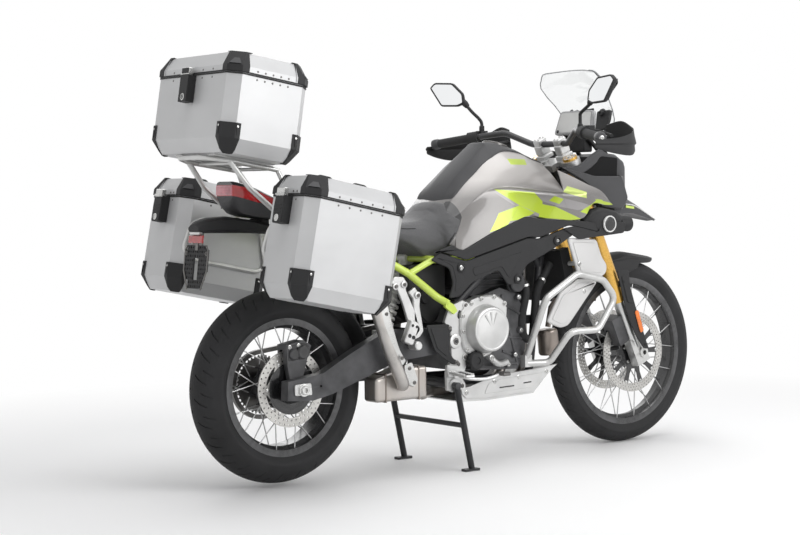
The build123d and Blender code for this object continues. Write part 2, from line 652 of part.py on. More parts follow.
def front_cowl():
    """Upper fairing: shoulder panels, headlight shell open at the back, and beak."""
    shoulder = plate(((1114, 1050), (1240, 996), (1308, 954), (1340, 904), (1430, 890), (1430, 1062),
                      (1410, 1066), (1376, 1010), (1250, 1030)), -162, -150)
    cheek = lofted([
        [(x, -y, 892), (x, -y, 1060), (x, -y + 12, 1060), (x, -y + 12, 892)]
        for x, y in ((1429, 162), (1486, 112))
    ])
    nose = lofted([
        [(x, -w, low), (x, -w, top), (x, 12 - w, top + 14), (x, w - 12, top + 14), (x, w, top), (x, w, low)]
        for x, w, low, top in ((1430, 150, 892, 1046), (1486, 112, 886, 1046), (1540, 66, 932, 1036))
    ])
    room = lofted([
        [(x, -w, low), (x, -w, top), (x, w, top), (x, w, low)]
        for x, w, low, top in ((1400, 138, 904, 1040), (1486, 98, 904, 1040), (1520, 60, 950, 1030))
    ])
    beak = lofted([
        [(x, -w, low), (x, -w, (top + low) / 2), (x, 0, top), (x, w, (top + low) / 2), (x, w, low)]
        for x, w, top, low in BEAK
    ])
    shell = fused(nose, shoulder, mirrored(shoulder), cheek, mirrored(cheek)) - room
    save("front_cowl", fused(shell, beak))


def lamps():
    """Headlight lens block in the nose and the two fog lamps on the pods."""
    head = lofted([
        [(1540 + FIT, -50, 956), (1540 + FIT, 50, 956), (1540 + FIT, 50, 1034), (1540 + FIT, -50, 1034)],
        [(1556, -38, 962), (1556, 38, 962), (1556, 38, 1024), (1556, -38, 1024)],
    ])
    fog = rod((1352 + FIT, -224, 838), (1402, -224, 838), 27)
    save("lamps", head, fog, mirrored(fog))


def windscreen():
    """Clear screen, leaning back, on two stays, with the instrument ahead of the rider."""
    t = 4
    rows = ((1322, 150, 1392), (1352, 190, 1314), (1392, 158, 1246), (1448, 110, 1130))
    sheet = lofted([[(x, -w, z), (x, w, z), (x + t, w, z), (x + t, -w, z)] for x, w, z in rows])
    save("windscreen", sheet)


def dash():
    face = plate(((1296, 1158), (1330, 1262), (1352, 1256), (1330, 1158)), -88, 88)
    hood = plate(((1326, 1159), (1346, 1240), (1384, 1226), (1448 - FIT, 1130), (1400, 1068), (1360, 1082)), -60, 60)
    save("dash", fused(face, hood))


def seat():
    """Rider's saddle, dished, and the passenger's pad behind it, both on feet over the rear frame's ties."""
    rider = lofted([
        half_section(x, ((0, top), (w * 0.75, top - 6), (w, top - 34), (w * 0.95, low), (0, low)))
        for x, w, top, low in ((639.7, 80, 932, 800), (560, 118, 902, 772), (470, 140, 868, 790),
                               (400, 146, 872, 810), (326, 140, 900, 826))
    ])
    pillion = lofted([
        half_section(x, ((0, top), (w * 0.8, top - 6), (w, top - 26), (w, low), (0, low)))
        for x, w, top, low in ((325.7, 130, 930, 828), (200, 132, 945, 850), (60, 120, 958, 880), (-30, 96, 962, 900))
    ])
    feet = []
    for y in (-70, 70):
        feet.append(block(536, 560, y - 14, y + 14, 748 + FIT, 790))
        feet.append(block(290, 312, y - 14, y + 14, 782 + FIT, 840))
        feet.append(block(70, 90, y - 14, y + 14, 849 + FIT, 890))
    save("seat_rider", fused(rider, feet[0], feet[3]))
    save("seat_pillion", fused(pillion, feet[1], feet[2], feet[4], feet[5]))


def tail():
    """Tail cowl behind the passenger's pad, its red lamp, and the mudguard arm under it."""
    cowl = lofted([
        [(x, -w, low), (x, -w, top), (x, w, top), (x, w, low)]
        for x, w, top, low in ((-30 - FIT, 92, 952, 890), (-110, 80, 985, 905), (-172, 60, 1006, 960))
    ])
    lens = lofted([
        [(-172 - FIT, -56, 964), (-172 - FIT, 56, 964), (-172 - FIT, 56, 1002), (-172 - FIT, -56, 1002)],
        [(-190, -40, 968), (-190, 40, 968), (-190, 40, 996), (-190, -40, 996)],
    ])
    arm = lofted([
        [(x, -w, low), (x, -w, top), (x, w, top), (x, w, low)]
        for x, w, top, low in ((71 - FIT, 60, 846, 834), (-31, 60, 868, 836), (-140, 52, 890, 848),
                               (-306, 34, 884, 852))
    ])
    post = block(-70, -40, -40, 40, 850, 889.7)
    save("tail_unit", cowl)
    save("tail_lamp", lens)
    save("rear_mudguard", fused(arm, post))


PLATE_T = 5
PLATE_HOLE_R = 3.25
PLATE_TOP, PLATE_TILT = (-284, 850.8), 7.0
PLATE_HOLES = ((-62, -70), (62, -70))


def plate_carrier():
    """Perforated number plate carrier hanging from the mudguard arm, with its reflector."""
    sheet = Box(PLATE_T, 168, 150)
    sheet = Pos(0, 0, -118) * sheet
    neck = Pos(0, 0, -22) * Box(PLATE_T, 60, 44)
    slots = [Pos(0, y, z) * Box(PLATE_T + 2, 16, 30) for y in (-36, 36) for z in (-92, -150)]
    holes = [Pos(0, y, z) * Rot(0, 90, 0) * Cylinder(PLATE_HOLE_R, PLATE_T + 2) for y, z in PLATE_HOLES]
    body = fused(sheet, neck)
    for cut in slots + holes:
        body = body - cut
    reflector = Pos(-PLATE_T / 2 - 4, 0, -24) * Box(8, 70, 26)
    lay = Pos(PLATE_TOP[0], 0, PLATE_TOP[1]) * Rot(0, PLATE_TILT, 0)
    save("plate_carrier", lay * fused(body, reflector))


def footrests():
    """Rider's pegs with heel guards, and the passenger's cast brackets with folded pegs."""
    out = PLATE_Y[1] + FIT
    base = block(582, 622, -out - 10, -out, 330, 360)
    peg = fused(rod((604, -out - 5, 345), (578, -306, 342), 10), block(566, 590, -306, -208, 331, 355), base)
    heel = plate(((488, 512), (584, 512), (592, 476), (588, 430), (612, 396), (622, 350), (590, 350), (572, 392),
                  (540, 430), (504, 450)), -out - 10, -out - 4)
    rail_out = 150 + RAIL_R + 2 * FIT
    bracket = plate(((366, 742), (392, 738), (448, 704), (456, 640), (466, 500), (420, 446), (372, 448),
                     (384, 500), (392, 560), (352, 662)), -rail_out - 14, -rail_out)
    bracket = bracket - plate(((404, 640), (430, 620), (436, 540), (414, 540)), -200, -160)
    passenger = block(360, 392, -262, -rail_out - 10, 448, 520)
    right = fused(peg, heel)
    rear = fused(bracket, passenger)
    save("footrests", right, mirrored(right), rear, mirrored(rear))


# ---------------------------------------------------------------- steering assembly


def fork():
    """Gold outer tubes, plain sliders with axle lugs, and the hollow front axle."""
    legs, sliders = [], []
    for side in (-1, 1):
        y = side * FORK_Y
        legs.append(rod(on_fork(FORK_SPLIT, y), on_fork(FORK_TOP, y), FORK_OUTER_R))
        slider = rod(on_fork(-34, y), on_fork(FORK_SPLIT - FIT, y), FORK_INNER_R)
        lug = fork_block(-40, 66, -24, 40, y - 19, y + 19)
        sliders.append(fused(slider, lug) - across(WHEELBASE, FRONT_AXLE_Z, AXLE_R + RUN, y - 30, y + 30))
    save("fork_tubes", *legs)
    save("fork_sliders", *sliders)
    edge = FORK_Y + FORK_INNER_R
    axle = across(WHEELBASE, FRONT_AXLE_Z, AXLE_R, -edge - 10, edge + 10)
    heads = [across(WHEELBASE, FRONT_AXLE_Z, 19, s * (edge + FIT), s * (edge + 9)) for s in (-1, 1)]
    save("front_axle", fused(axle, *heads) - across(WHEELBASE, FRONT_AXLE_Z, AXLE_BORE_R, -200, 200))


def triple_clamps():
    """Lower and upper yokes on the stem, and the bar risers on the upper one."""
    made = []
    for s0, s1 in (LOWER_CLAMP, UPPER_CLAMP):
        yoke = fork_block(s0, s1, -CLAMP_OFFSET - 26, 20, -58, 58)
        for side in (-1, 1):
            yoke = yoke + rod(on_fork(s0, side * FORK_Y), on_fork(s1, side * FORK_Y), FORK_OUTER_R + 8)
            yoke = yoke + fork_block(s0, s1, -24, 14, side * 40, side * 100)
        for side in (-1, 1):
            yoke = yoke - rod(on_fork(s0 - 5, side * FORK_Y), on_fork(s1 + 5, side * FORK_Y), FORK_OUTER_R + RUN)
        made.append(yoke)
    stem = rod(on_axis(LOWER_CLAMP[0]), on_axis(UPPER_CLAMP[1] + 10), STEM_R)
    risers = [fork_block(UPPER_CLAMP[1], BAR_S + 18, BAR_AHEAD - 20, BAR_AHEAD + 20, s * 40, s * 68) for s in (-1, 1)]
    whole = fused(made[0], made[1], stem, *risers)
    at = on_fork(BAR_S, 0, BAR_AHEAD)
    save("triple_clamps", whole - across(at[0], at[2], BAR_R + RUN, -100, 100))


BAR_S, BAR_AHEAD = 858, 22   # the bar's middle, up the fork and ahead of it
BAR_BEND, BAR_IN, BAR_END = (1176, 196, 1181), (1130, 262, 1172), (1052, 446, 1146)


def handlebar():
    mid = on_fork(BAR_S, 0, BAR_AHEAD)
    points = [BAR_END, BAR_IN, BAR_BEND, (mid[0], 96, mid[2])]
    points = points + [(x, -y, z) for x, y, z in reversed(points)]
    bar = tube(points, BAR_R, [60, 60, 60, 60, 60, 60])
    save("handlebar", bar)
    return mid


def along(a, b, share):
    return tuple(p + (q - p) * share for p, q in zip(a, b))


def controls():
    """Grips, switch blocks, brake pumps and levers on each side of the bar."""
    end = (BAR_END[0], -BAR_END[1], BAR_END[2])
    start = (BAR_IN[0], -BAR_IN[1], BAR_IN[2])
    bore = rod(along(start, end, 0.05), along(start, end, 1.3), BAR_R + RUN)
    grip = rod(along(start, end, 0.345), along(start, end, 0.985), 17)
    switch = rod(along(start, end, 0.14), along(start, end, 0.34), 23)
    pump = block(1128, 1160, -312, -280, 1162, 1192)
    lever = tube([(1140, -300, 1176), (1166, -332, 1170), (1128, -432, 1152)], 6, 15)
    made = fused(switch, pump, lever) - bore
    grip = grip - bore
    save("controls", made, grip, mirrored(made), mirrored(grip))


MIRROR_AT = (1088, -440, 1332)


def mirrors():
    """Stalk and head of each mirror, screwed into the pump's lug."""
    x, y, z = MIRROR_AT
    stalk = tube([(1144, -296, 1192 + FIT), (1144, -296, 1222), (1112, -352, 1286), (1096, -392, 1304)], 6, [20, 20])
    head = outline((-84, -18), (-52, -46), (58, -50), (88, -30), (84, 14), (38, 50), (-56, 46), (-86, 20))
    lay = Plane(origin=(x, y - 6, z), x_dir=(0, 1, 0), z_dir=(-1, 0, 0.1))
    right = fused(stalk, extrude(lay * head, amount=14, both=True))
    save("mirrors", right, mirrored(right))


def handguards():
    """Curved shells round the grips, bolted at the bar's ends."""
    plan = [(1040, -470), (1150, -482), (1232, -450), (1266, -390), (1262, -330)]
    inner = [(1254, -330), (1258, -388), (1226, -444), (1148, -474), (1040, -462)]
    shell = make_face(Polyline(*[(x, y, 1120) for x, y in plan + inner], close=True))
    shell = extrude(shell, amount=86, dir=(0, 0, 1))
    cut = plate(((1000, 1166), (1100, 1170), (1180, 1210), (1180, 1240), (1000, 1240)), -500, -300)
    start = (BAR_IN[0], -BAR_IN[1], BAR_IN[2])
    end = (BAR_END[0], -BAR_END[1], BAR_END[2])
    bolt = rod(along(start, end, 1.0 + FIT / 200), along(start, end, 1.1), 12)
    right = fused(shell - cut, bolt)
    save("handguards", right, mirrored(right))


def front_fender():
    """Mudguard over the front tyre, its tabs to the fork, and the shields down the sliders."""
    x, z = WHEELBASE, FRONT_AXLE_Z
    clear = FRONT_TYRE_R + 20
    ring = across(x, z, clear + 5, -66, 66) - across(x, z, clear, -70, 70)
    keep = plate(((x, z), (x + 330, z + 300), (x + 190, z + 460), (x - 60, z + 460), (x - 300, z + 330),
                  (x - 400, z + 140)), -80, 80)
    guard = ring & keep
    tab = fork_block(330, 420, -12, 14, -FORK_Y + FORK_OUTER_R + FIT, -58)
    tab = fused(guard, tab, mirrored(tab))
    save("front_fender", tab)


def front_brakes():
    """Calipers behind the fork legs, straddling the discs."""
    slot0, slot1 = -FRONT_DISC_Y - DISC_T - 5, -FRONT_DISC_Y + 5
    body = fork_block(70, 176, -72, -FORK_INNER_R - FIT, -118, -57.5)
    body = body - across(WHEELBASE, FRONT_AXLE_Z, FRONT_DISC_R + 6, slot0, slot1)
    save("front_calipers", body, mirrored(body))


# ---------------------------------------------------------------- cases


def octagon(length, width, bevel, h, grow=0.0):
    """Corner points of a bevelled rectangle, its rear edge at x = 0."""
    x0, x1, w = -grow, length + grow, width / 2 + grow
    return [(x0 + bevel, -w, h), (x1 - bevel, -w, h), (x1, -w + bevel, h), (x1, w - bevel, h),
            (x1 - bevel, w, h), (x0 + bevel, w, h), (x0, w - bevel, h), (x0, -w + bevel, h)]


def case_form(case, grow=0.0, top=0.0):
    """Outside of a case up to its rim plus top, grown or shrunk all round."""
    length, width, height = case["length"], case["width"], case["height"]
    foot = lofted([octagon(length, width, CASE_BEVEL, -grow, grow - CASE_FOOT_IN),
                   octagon(length, width, CASE_BEVEL, CASE_FOOT, grow)])
    walls = lofted([octagon(length, width, CASE_BEVEL, CASE_FOOT, grow),
                    octagon(length, width, CASE_BEVEL, height + top, grow)])
    return foot + walls


def lid_form(case, grow=0.0, low=0.0):
    length, width, height = case["length"], case["width"], case["height"] + CASE_GAP
    band = lofted([octagon(length, width, CASE_BEVEL, height + low, grow),
                   octagon(length, width, CASE_BEVEL, height + LID_BAND, grow)])
    slope = lofted([octagon(length, width, CASE_BEVEL, height + LID_BAND, grow),
                    octagon(length, width, CASE_BEVEL, height + case["lid"] + grow, grow - LID_IN)])
    return band + slope


def corner_boxes(case, z0, z1, reach=52):
    length, width = case["length"], case["width"]
    made = []
    for x in (0, length):
        for y in (-width / 2, width / 2):
            x0, x1 = (-20, reach) if x == 0 else (length - reach, length + 20)
            y0, y1 = (y - 20, y + reach) if y < 0 else (y - reach, y + 20)
            made.append(block(x0, x1, y0, y1, z0, z1))
    return made


def hinge_leaf(case, y0, y1, z0, z1):
    """Barrel on the lid's hinge axis from y0 to y1, with a leaf on the front wall from z0 to z1."""
    x = case["length"]
    z = case["height"] + CASE_GAP
    barrel = across(x + HINGE_OUT, z, KNUCKLE_R, y0, y1)
    return fused(barrel, block(x, x + HINGE_OUT, y0, y1, z0, z1) - barrel)


def case_parts(case):
    """A case's open box, its lid with corner caps and handles, and its black fittings."""
    length, width, height = case["length"], case["width"], case["height"]
    box = case_form(case) - case_form(case, -CASE_WALL, 5)
    lid = lid_form(case) - lid_form(case, -CASE_WALL, -5)
    caps = [(case_form(case, CORNER_GROW) & b) - case_form(case, 0, 5) for b in corner_boxes(case, -20, 92)]
    crowns = [(lid_form(case, CORNER_GROW, 4) & b) - lid_form(case)
              for b in corner_boxes(case, height + 3, height + 200, 62)]
    handles = []
    for y in (-0.2 * width, 0.2 * width) if width > length else (0,):
        for x in (0.32 * length, 0.68 * length) if width <= length else (0.5 * length,):
            z = height + CASE_GAP + case["lid"]
            ring = tube([(x - 30, y, z - 1), (x - 22, y, z + 14), (x + 22, y, z + 14), (x + 30, y, z - 1)], 4.5, 8)
            handles.append(ring)
    latch = block(-30, -FIT, -24, 24, height - 92, height - 6)
    latch = latch + block(-30, -18, -20, 20, height - 8, height + 16)
    rim = height + CASE_GAP
    for y in (-0.23 * width, 0.23 * width) if width > length else (0,):
        box = fused(box, hinge_leaf(case, y - KNUCKLE_HALF, y + KNUCKLE_HALF, height - 16, height - 1))
        for side in (-1, 1):
            near, far = y + side * (KNUCKLE_HALF + CASE_GAP), y + side * (3 * KNUCKLE_HALF)
            crowns.append(hinge_leaf(case, min(near, far), max(near, far), rim + 1, rim + 16))
    lid = fused(lid, *crowns, *handles)
    return box, lid, caps + [latch]


def placed(shape, at, case):
    return Pos(*at) * Rot(0, case["tilt"], 0) * shape


def cases():
    box, lid, fittings = case_parts(TOP_CASE)
    save("top_case", placed(box, TOP_CASE_AT, TOP_CASE))
    save("top_case_lid", placed(lid, TOP_CASE_AT, TOP_CASE))
    trims = [placed(f, TOP_CASE_AT, TOP_CASE) for f in fittings]
    box, lid, fittings = case_parts(SIDE_CASE)
    x, y, z = SIDE_CASE_AT
    for side, name in ((-1, "right"), (1, "left")):
        at = (x, side * y, z)
        save(f"side_case_{name}", placed(box, at, SIDE_CASE))
        save(f"side_case_lid_{name}", placed(lid, at, SIDE_CASE))
        trims += [placed(f, at, SIDE_CASE) for f in fittings]
    save("case_fittings", *trims)


def luggage_rack():
    """Tubular rack under the top case with its struts, and a hoop with stays for each side case."""
    tilt = radians(TOP_CASE["tilt"])

    def deck(x, y, drop):
        run = x - TOP_CASE_AT[0]
        return (x - drop * sin(tilt), y, TOP_CASE_AT[2] - run * tan(tilt) - drop / cos(tilt))

    tube_r = 8
    low = tube_r + 6 + FIT
    ring = tube([deck(-50, -120, low), deck(-240, -130, low), deck(-310, -70, low), deck(-310, 70, low),
                 deck(-240, 130, low), deck(-50, 120, low), ], tube_r, [60, 50, 50, 60])
    bars = [rod(deck(x, -124, low), deck(x, 124, low), 6) for x in (-80, -200)]
    pads = [Pos(*deck(-180, y, 3 + FIT)) * Rot(0, TOP_CASE["tilt"], 0) * Box(230, 40, 6) for y in (-100, 0, 100)]
    out = RAIL_Y + RAIL_R + FIT + 9
    strut = tube([deck(-240, -128, low), (-178, -136, 990), (-20, -out, 863)], 9, [60])
    front_strut = rod(deck(-56, -120, low), (30, -out, 852), 8)
    right = fused(strut, front_strut)
    save("luggage_rack", fused(ring, *bars, *pads, right, mirrored(right)))

    y = -(SIDE_CASE_AT[1] - SIDE_CASE["width"] / 2 - FIT - tube_r)
    inward = -(RAIL_Y + RAIL_R + FIT)
    hoop = tube([(0, y, 858), (110, y, 832), (124, y, 708), (80, y, 700), (-170, y, 752), (-200, y, 790),
                 (-160, y, 895), (0, y, 858)], tube_r, [30, 25, 25, 30, 30, 30, 60])
    stays = [rod((sx, y, sz), (sx, inward, sz), 6) for sx, sz in ((95, 837), (8, 856.5))]
    low_stay = rod((118, y, 740), (362, -176, 722), 6)
    head = block(352, 372, -190, -177.6 - FIT, 712, 732)
    hoop = fused(hoop, *stays)
    save("case_carriers", hoop, mirrored(hoop))


# ---------------------------------------------------------------- stands
STAND_OVER = 12.0           # the legs' lean past upright, feet ahead of the pivot
STAND_Y = 193


def centre_stand():
    """Two legs on a cross tube through the pivot plates, with floor pads."""
    px, pz = STAND_PIVOT
    foot_x = px + (pz - 6) * tan(radians(STAND_OVER))
    leg = rod((px, -STAND_Y, pz), (foot_x, -STAND_Y, 6), 11)
    leg = leg & block(0, 1200, -300, 300, 0.5, 400)
    pad = block(foot_x - 36, foot_x + 26, -STAND_Y - 13, -STAND_Y + 13, 0, 9)
    right = fused(leg, pad)
    spindle = across(px, pz, STAND_TUBE_R, -STAND_Y - 11, STAND_Y + 11)
    brace = rod((px + 30, -STAND_Y, pz - 140), (px + 30, STAND_Y, pz - 140), 9)
    save("centre_stand", fused(spindle, right, mirrored(right), brace))


def side_stand():
    """Folded leg on the left, its head on the frame's lug, its pin square to the lug's face."""
    b = (396, 226, 300)
    leg = rod((690, 226, 304), b, 10)
    head = rod(SIDE_PIVOT - SIDE_AXIS * (SIDE_HEAD / 2), SIDE_PIVOT + SIDE_AXIS * (SIDE_HEAD / 2), 17)
    pad = rod(b, (384, 226, 300), 18)
    save("side_stand", fused(leg, head, pad))


def build():
    front_wheel()
    rear_wheel()
    drive_chain()
    main_frame()
    pivot_plates()
    subframe()
    engine()
    engine_covers()
    exhaust()
    silencer()
    radiator()
    radiator_panels()
    crash_bars()
    skid_plate()
    swingarm()
    rear_shock()
    save("rear_caliper", rear_brake())
    fuel_tank()
    tank_cover()
    side_panels()
    front_cowl()
    lamps()
    windscreen()
    dash()
    seat()
    tail()
    plate_carrier()
    footrests()
    fork()
    triple_clamps()
    handlebar()
    controls()
    mirrors()
    handguards()
    front_fender()
    front_brakes()
    cases()
    luggage_rack()
    centre_stand()
    side_stand()


build()
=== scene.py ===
import json
import math

import bmesh
import bpy
from mathutils import Matrix, Vector
from mathutils.bvhtree import BVHTree


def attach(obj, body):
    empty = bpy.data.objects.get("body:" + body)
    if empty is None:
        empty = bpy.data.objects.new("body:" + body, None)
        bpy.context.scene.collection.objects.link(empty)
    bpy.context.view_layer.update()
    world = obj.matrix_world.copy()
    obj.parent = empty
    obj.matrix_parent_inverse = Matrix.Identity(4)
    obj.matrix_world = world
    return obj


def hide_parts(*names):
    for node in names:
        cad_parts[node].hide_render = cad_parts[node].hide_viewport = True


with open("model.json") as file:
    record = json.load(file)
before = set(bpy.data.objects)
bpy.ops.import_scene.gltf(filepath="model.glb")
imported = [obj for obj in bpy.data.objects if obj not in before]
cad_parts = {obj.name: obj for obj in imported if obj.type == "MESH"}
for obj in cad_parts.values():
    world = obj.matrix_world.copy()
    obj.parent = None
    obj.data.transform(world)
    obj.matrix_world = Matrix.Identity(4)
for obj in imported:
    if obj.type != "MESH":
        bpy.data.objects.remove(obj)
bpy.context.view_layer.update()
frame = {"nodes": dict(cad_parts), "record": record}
NODES = frame["nodes"]

# Every shape below is given in millimetres from the rear axle, x forward, y left, z up from the floor.
ORIGIN_X = 789.0            # the row frame's origin, ahead of the rear axle
MM = 0.001
WHEELBASE = 1570
FRONT_AXLE = Vector((WHEELBASE, 0, 347.5))
REAR_AXLE = Vector((0, 0, 331))
RAKE = math.radians(24)
UP = Vector((-math.sin(RAKE), 0, math.cos(RAKE)))       # along the fork
AHEAD = Vector((math.cos(RAKE), 0, math.sin(RAKE)))     # square to it, forward
FORK_FOOT = FRONT_AXLE - 15 * AHEAD
FORK_Y = 104
FRONT, BACK, LEFT, RIGHT = (1, 0, 0), (-1, 0, 0), (0, 1, 0), (0, -1, 0)


def on_fork(along, y=0.0, ahead=0.0):
    """A point on the fork, measured up from its foot."""
    return FORK_FOOT + along * UP + ahead * AHEAD + Vector((0, y, 0))


# ---------------------------------------------------------------- mesh code


def signed_area(outline):
    """Area of an outline, positive where it runs anticlockwise."""
    return sum(a[0] * b[1] - b[0] * a[1] for a, b in zip(outline, outline[1:] + outline[:1])) / 2


def inset(outline, distance):
    """The outline moved inward by distance, corners mitred."""
    moved = []
    turn = 1 if signed_area(outline) > 0 else -1
    for i, here in enumerate(outline):
        before, after = Vector(outline[i - 1]), Vector(outline[(i + 1) % len(outline)])
        here = Vector(here)
        d1, d2 = (here - before).normalized(), (after - here).normalized()
        n1, n2 = Vector((-d1.y, d1.x)) * turn, Vector((-d2.y, d2.x)) * turn
        moved.append(here + (n1 + n2) * distance / max(0.3, 1 + n1.dot(n2)))
    return moved


def rounded(outline, radius, steps=4):
    """The outline with each corner turned into an arc of about that radius."""
    made = []
    for i, here in enumerate(outline):
        here = Vector(here)
        before, after = Vector(outline[i - 1]), Vector(outline[(i + 1) % len(outline)])
        d1, d2 = before - here, after - here
        reach = min(radius, 0.45 * d1.length, 0.45 * d2.length)
        a, b = here + d1.normalized() * reach, here + d2.normalized() * reach
        for s in range(steps + 1):
            t = s / steps
            made.append(a * (1 - t) ** 2 + here * 2 * t * (1 - t) + b * t ** 2)
    return made


def smooth(points, steps=6):
    """A Catmull-Rom line through the points."""
    points = [Vector(p) for p in points]
    last = len(points) - 1
    made = []
    for i in range(last):
        p = [points[max(0, min(last, i + k))] for k in (-1, 0, 1, 2)]
        for s in range(steps):
            t = s / steps
            made.append(0.5 * (2 * p[1] + (p[2] - p[0]) * t + (2 * p[0] - 5 * p[1] + 4 * p[2] - p[3]) * t ** 2
                               + (3 * p[1] - p[0] - 3 * p[2] + p[3]) * t ** 3))
    return made + [points[last]]


def circle(centre, normal, radius, sides, first=None):
    """Ring of points round centre, square to normal."""
    normal = Vector(normal).normalized()
    side = Vector(first) if first else normal.orthogonal()
    side = (side - normal * side.dot(normal)).normalized()
    other = normal.cross(side)
    return [Vector(centre) + (side * math.cos(a) + other * math.sin(a)) * radius
            for a in (2 * math.pi * k / sides for k in range(sides))]


def at_side(y0=0.0):
    """Places a slab's outline in the x-z plane, its depth along +y from y0."""
    return Matrix(((1, 0, 0, 0), (0, 0, 1, y0), (0, 1, 0, 0), (0, 0, 0, 1)))


def moved_by(x, y, z):
    """Shifts what is placed after it."""
    return Matrix.Translation((x, y, z))


def facing(at, across, up, out):
    """Places a slab's outline on the plane of across and up at a point, its depth along out."""
    return Matrix.Translation(at) @ Matrix((across, up, out)).transposed().to_4x4()


class Shape:
    """Faces gathered in millimetres from the rear axle, then made into one piece."""

    def __init__(self):
        self.points = []
        self.faces = []

    def add(self, points, faces, place=None):
        """Adds faces whose numbers count from these points."""
        first = len(self.points)
        self.points += [place @ Vector(p) if place else Vector(p) for p in points]
        self.faces += [[first + i for i in face] for face in faces]
        return self

    def skin(self, rings, closed=False, caps=True):
        """Faces between rings that have the same number of points."""
        n, count = len(rings[0]), len(rings)
        faces = []
        for i in range(count if closed else count - 1):
            a, b = i * n, ((i + 1) % count) * n
            faces += [[a + j, a + (j + 1) % n, b + (j + 1) % n, b + j] for j in range(n)]
        if caps and not closed:
            faces.append(list(range(n))[::-1])
            faces.append([(count - 1) * n + j for j in range(n)])
        return self.add([p for ring in rings for p in ring], faces)

    def join(self, other):
        """Takes in another shape's faces."""
        return self.add(other.points, other.faces)

    def tube(self, line, radius, sides=12):
        """A round bar along a line; radius may be one number or one for each point."""
        line = [Vector(p) for p in line]
        radii = radius if isinstance(radius, (list, tuple)) else [radius] * len(line)
        rings, side = [], None
        for before, here, after, r in zip(line[:1] + line, line, line[1:] + line[-1:], radii):
            way = (after - before).normalized()
            side = way.orthogonal() if side is None else side - way * side.dot(way)
            side.normalize()
            rings.append(circle(here, way, r, sides, first=side))
        return self.skin(rings)

    def lathe(self, start, way, profile, sides=32, closed=False):
        """Rings of (distance along way, radius)."""
        way = Vector(way).normalized()
        side = way.orthogonal()
        rings = [circle(Vector(start) + way * d, way, max(r, 0.01), sides, first=side) for d, r in profile]
        return self.skin(rings, closed=closed)

    def slab(self, outline, place, depth, edge=1.0):
        """A plate of the outline, from 0 to depth, with chamfered edges."""
        outline = [Vector(p) for p in outline]
        small = inset(outline, edge)
        rows = ((0, small), (edge, outline), (depth - edge, outline), (depth, small))
        rings = [[place @ Vector((p[0], p[1], w)) for p in ring] for w, ring in rows]
        return self.skin(rings)

    def box(self, low, high, edge=1.0, place=None):
        """A block with chamfered edges, between two corners."""
        low, high = Vector(low), Vector(high)
        flat = [(low.x, low.z), (high.x, low.z), (high.x, high.z), (low.x, high.z)]
        edge = min(edge, 0.4 * min(high - low))
        flat = [Vector(p) for p in flat]
        cut = []
        for i, p in enumerate(flat):
            a, b = flat[i - 1], flat[(i + 1) % 4]
            cut += [p + (a - p).normalized() * edge, p + (b - p).normalized() * edge]
        first = len(self.points)
        self.slab(cut, at_side(low.y), high.y - low.y, edge)
        if place:
            self.points[first:] = [place @ p for p in self.points[first:]]
        return self

    def bolt(self, centre, way, radius, height):
        """A socket head on a washer."""
        washer = ((-1, 1.45), (0.22 * height, 1.45), (0.3 * height, 1.3))
        head = ((0.25, 1), (0.85, 1), (1, 0.86), (1, 0.5), (0.45, 0.45))
        self.lathe(centre, way, [(d, radius * r) for d, r in washer], 16)
        return self.lathe(centre, way, [(height * d, radius * r) for d, r in head], 14)

    def bolts(self, spots, y, radius, height):
        """Bolts on the right side, each at (x, z) and y from the middle plane."""
        for x, z in spots:
            self.bolt((x, -y, z), RIGHT, radius, height)
        return self

    def cell(self, near, far, walls):
        """A plate cell with a hole: near and far have eight points round its edge, eight round the hole."""
        faces = []
        for m in range(8):
            o = (m + 1) % 8
            faces += [[m, o, 8 + o, 8 + m], [16 + m, 24 + m, 24 + o, 16 + o], [8 + m, 8 + o, 24 + o, 24 + m]]
        return self.add(near + far, faces + [[m, (m + 1) % 8, 16 + (m + 1) % 8, 16 + m] for m in walls])

    def mirror(self):
        """Adds the same faces on the other side of the middle plane."""
        return self.add([(p.x, -p.y, p.z) for p in self.points], [face[::-1] for face in self.faces])

    def moved(self, place):
        """The same faces at another place."""
        self.points = [place @ p for p in self.points]
        return self

    def piece(self, name, slot, angle=32.0, node=None, body="chassis", look=None, bevel=0.0):
        """Makes the mesh in place of a CAD node, if one is named, and lets it ride on its body."""
        mesh = bpy.data.meshes.new(name)
        mesh.from_pydata([((p.x - ORIGIN_X) * MM, p.y * MM, p.z * MM) for p in self.points], [], self.faces)
        made = bmesh.new()
        made.from_mesh(mesh)
        bmesh.ops.remove_doubles(made, verts=made.verts, dist=2e-6)
        bmesh.ops.recalc_face_normals(made, faces=made.faces)
        made.to_mesh(mesh)
        made.free()
        mesh.polygons.foreach_set("use_smooth", [True] * len(mesh.polygons))
        mesh.set_sharp_from_angle(angle=math.radians(angle))
        return finished(bpy.data.objects.new(name, mesh), body, FINISHES[look or slot], node, bevel)


def side_slab(shape, outline, side, y0, y1, corner=6.0, edge=2.0):
    """A rounded plate between two distances from the middle plane, on one side."""
    return shape.slab(rounded(outline, corner, 3), at_side(min(side * y0, side * y1)), y1 - y0, edge)


def finished(obj, body, material, node=None, bevel=0.0):
    """Links a piece, gives it its material, and lets it ride."""
    if obj.name not in bpy.context.scene.collection.objects:
        bpy.context.scene.collection.objects.link(obj)
    obj.data.materials.clear()
    obj.data.materials.append(material)
    if bevel:
        cut = obj.modifiers.new("edges", "BEVEL")
        cut.width = bevel * MM
        cut.segments = 2
        cut.limit_method = "ANGLE"
    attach(obj, body)
    if node:
        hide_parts(node)
    return obj


# ---------------------------------------------------------------- materials


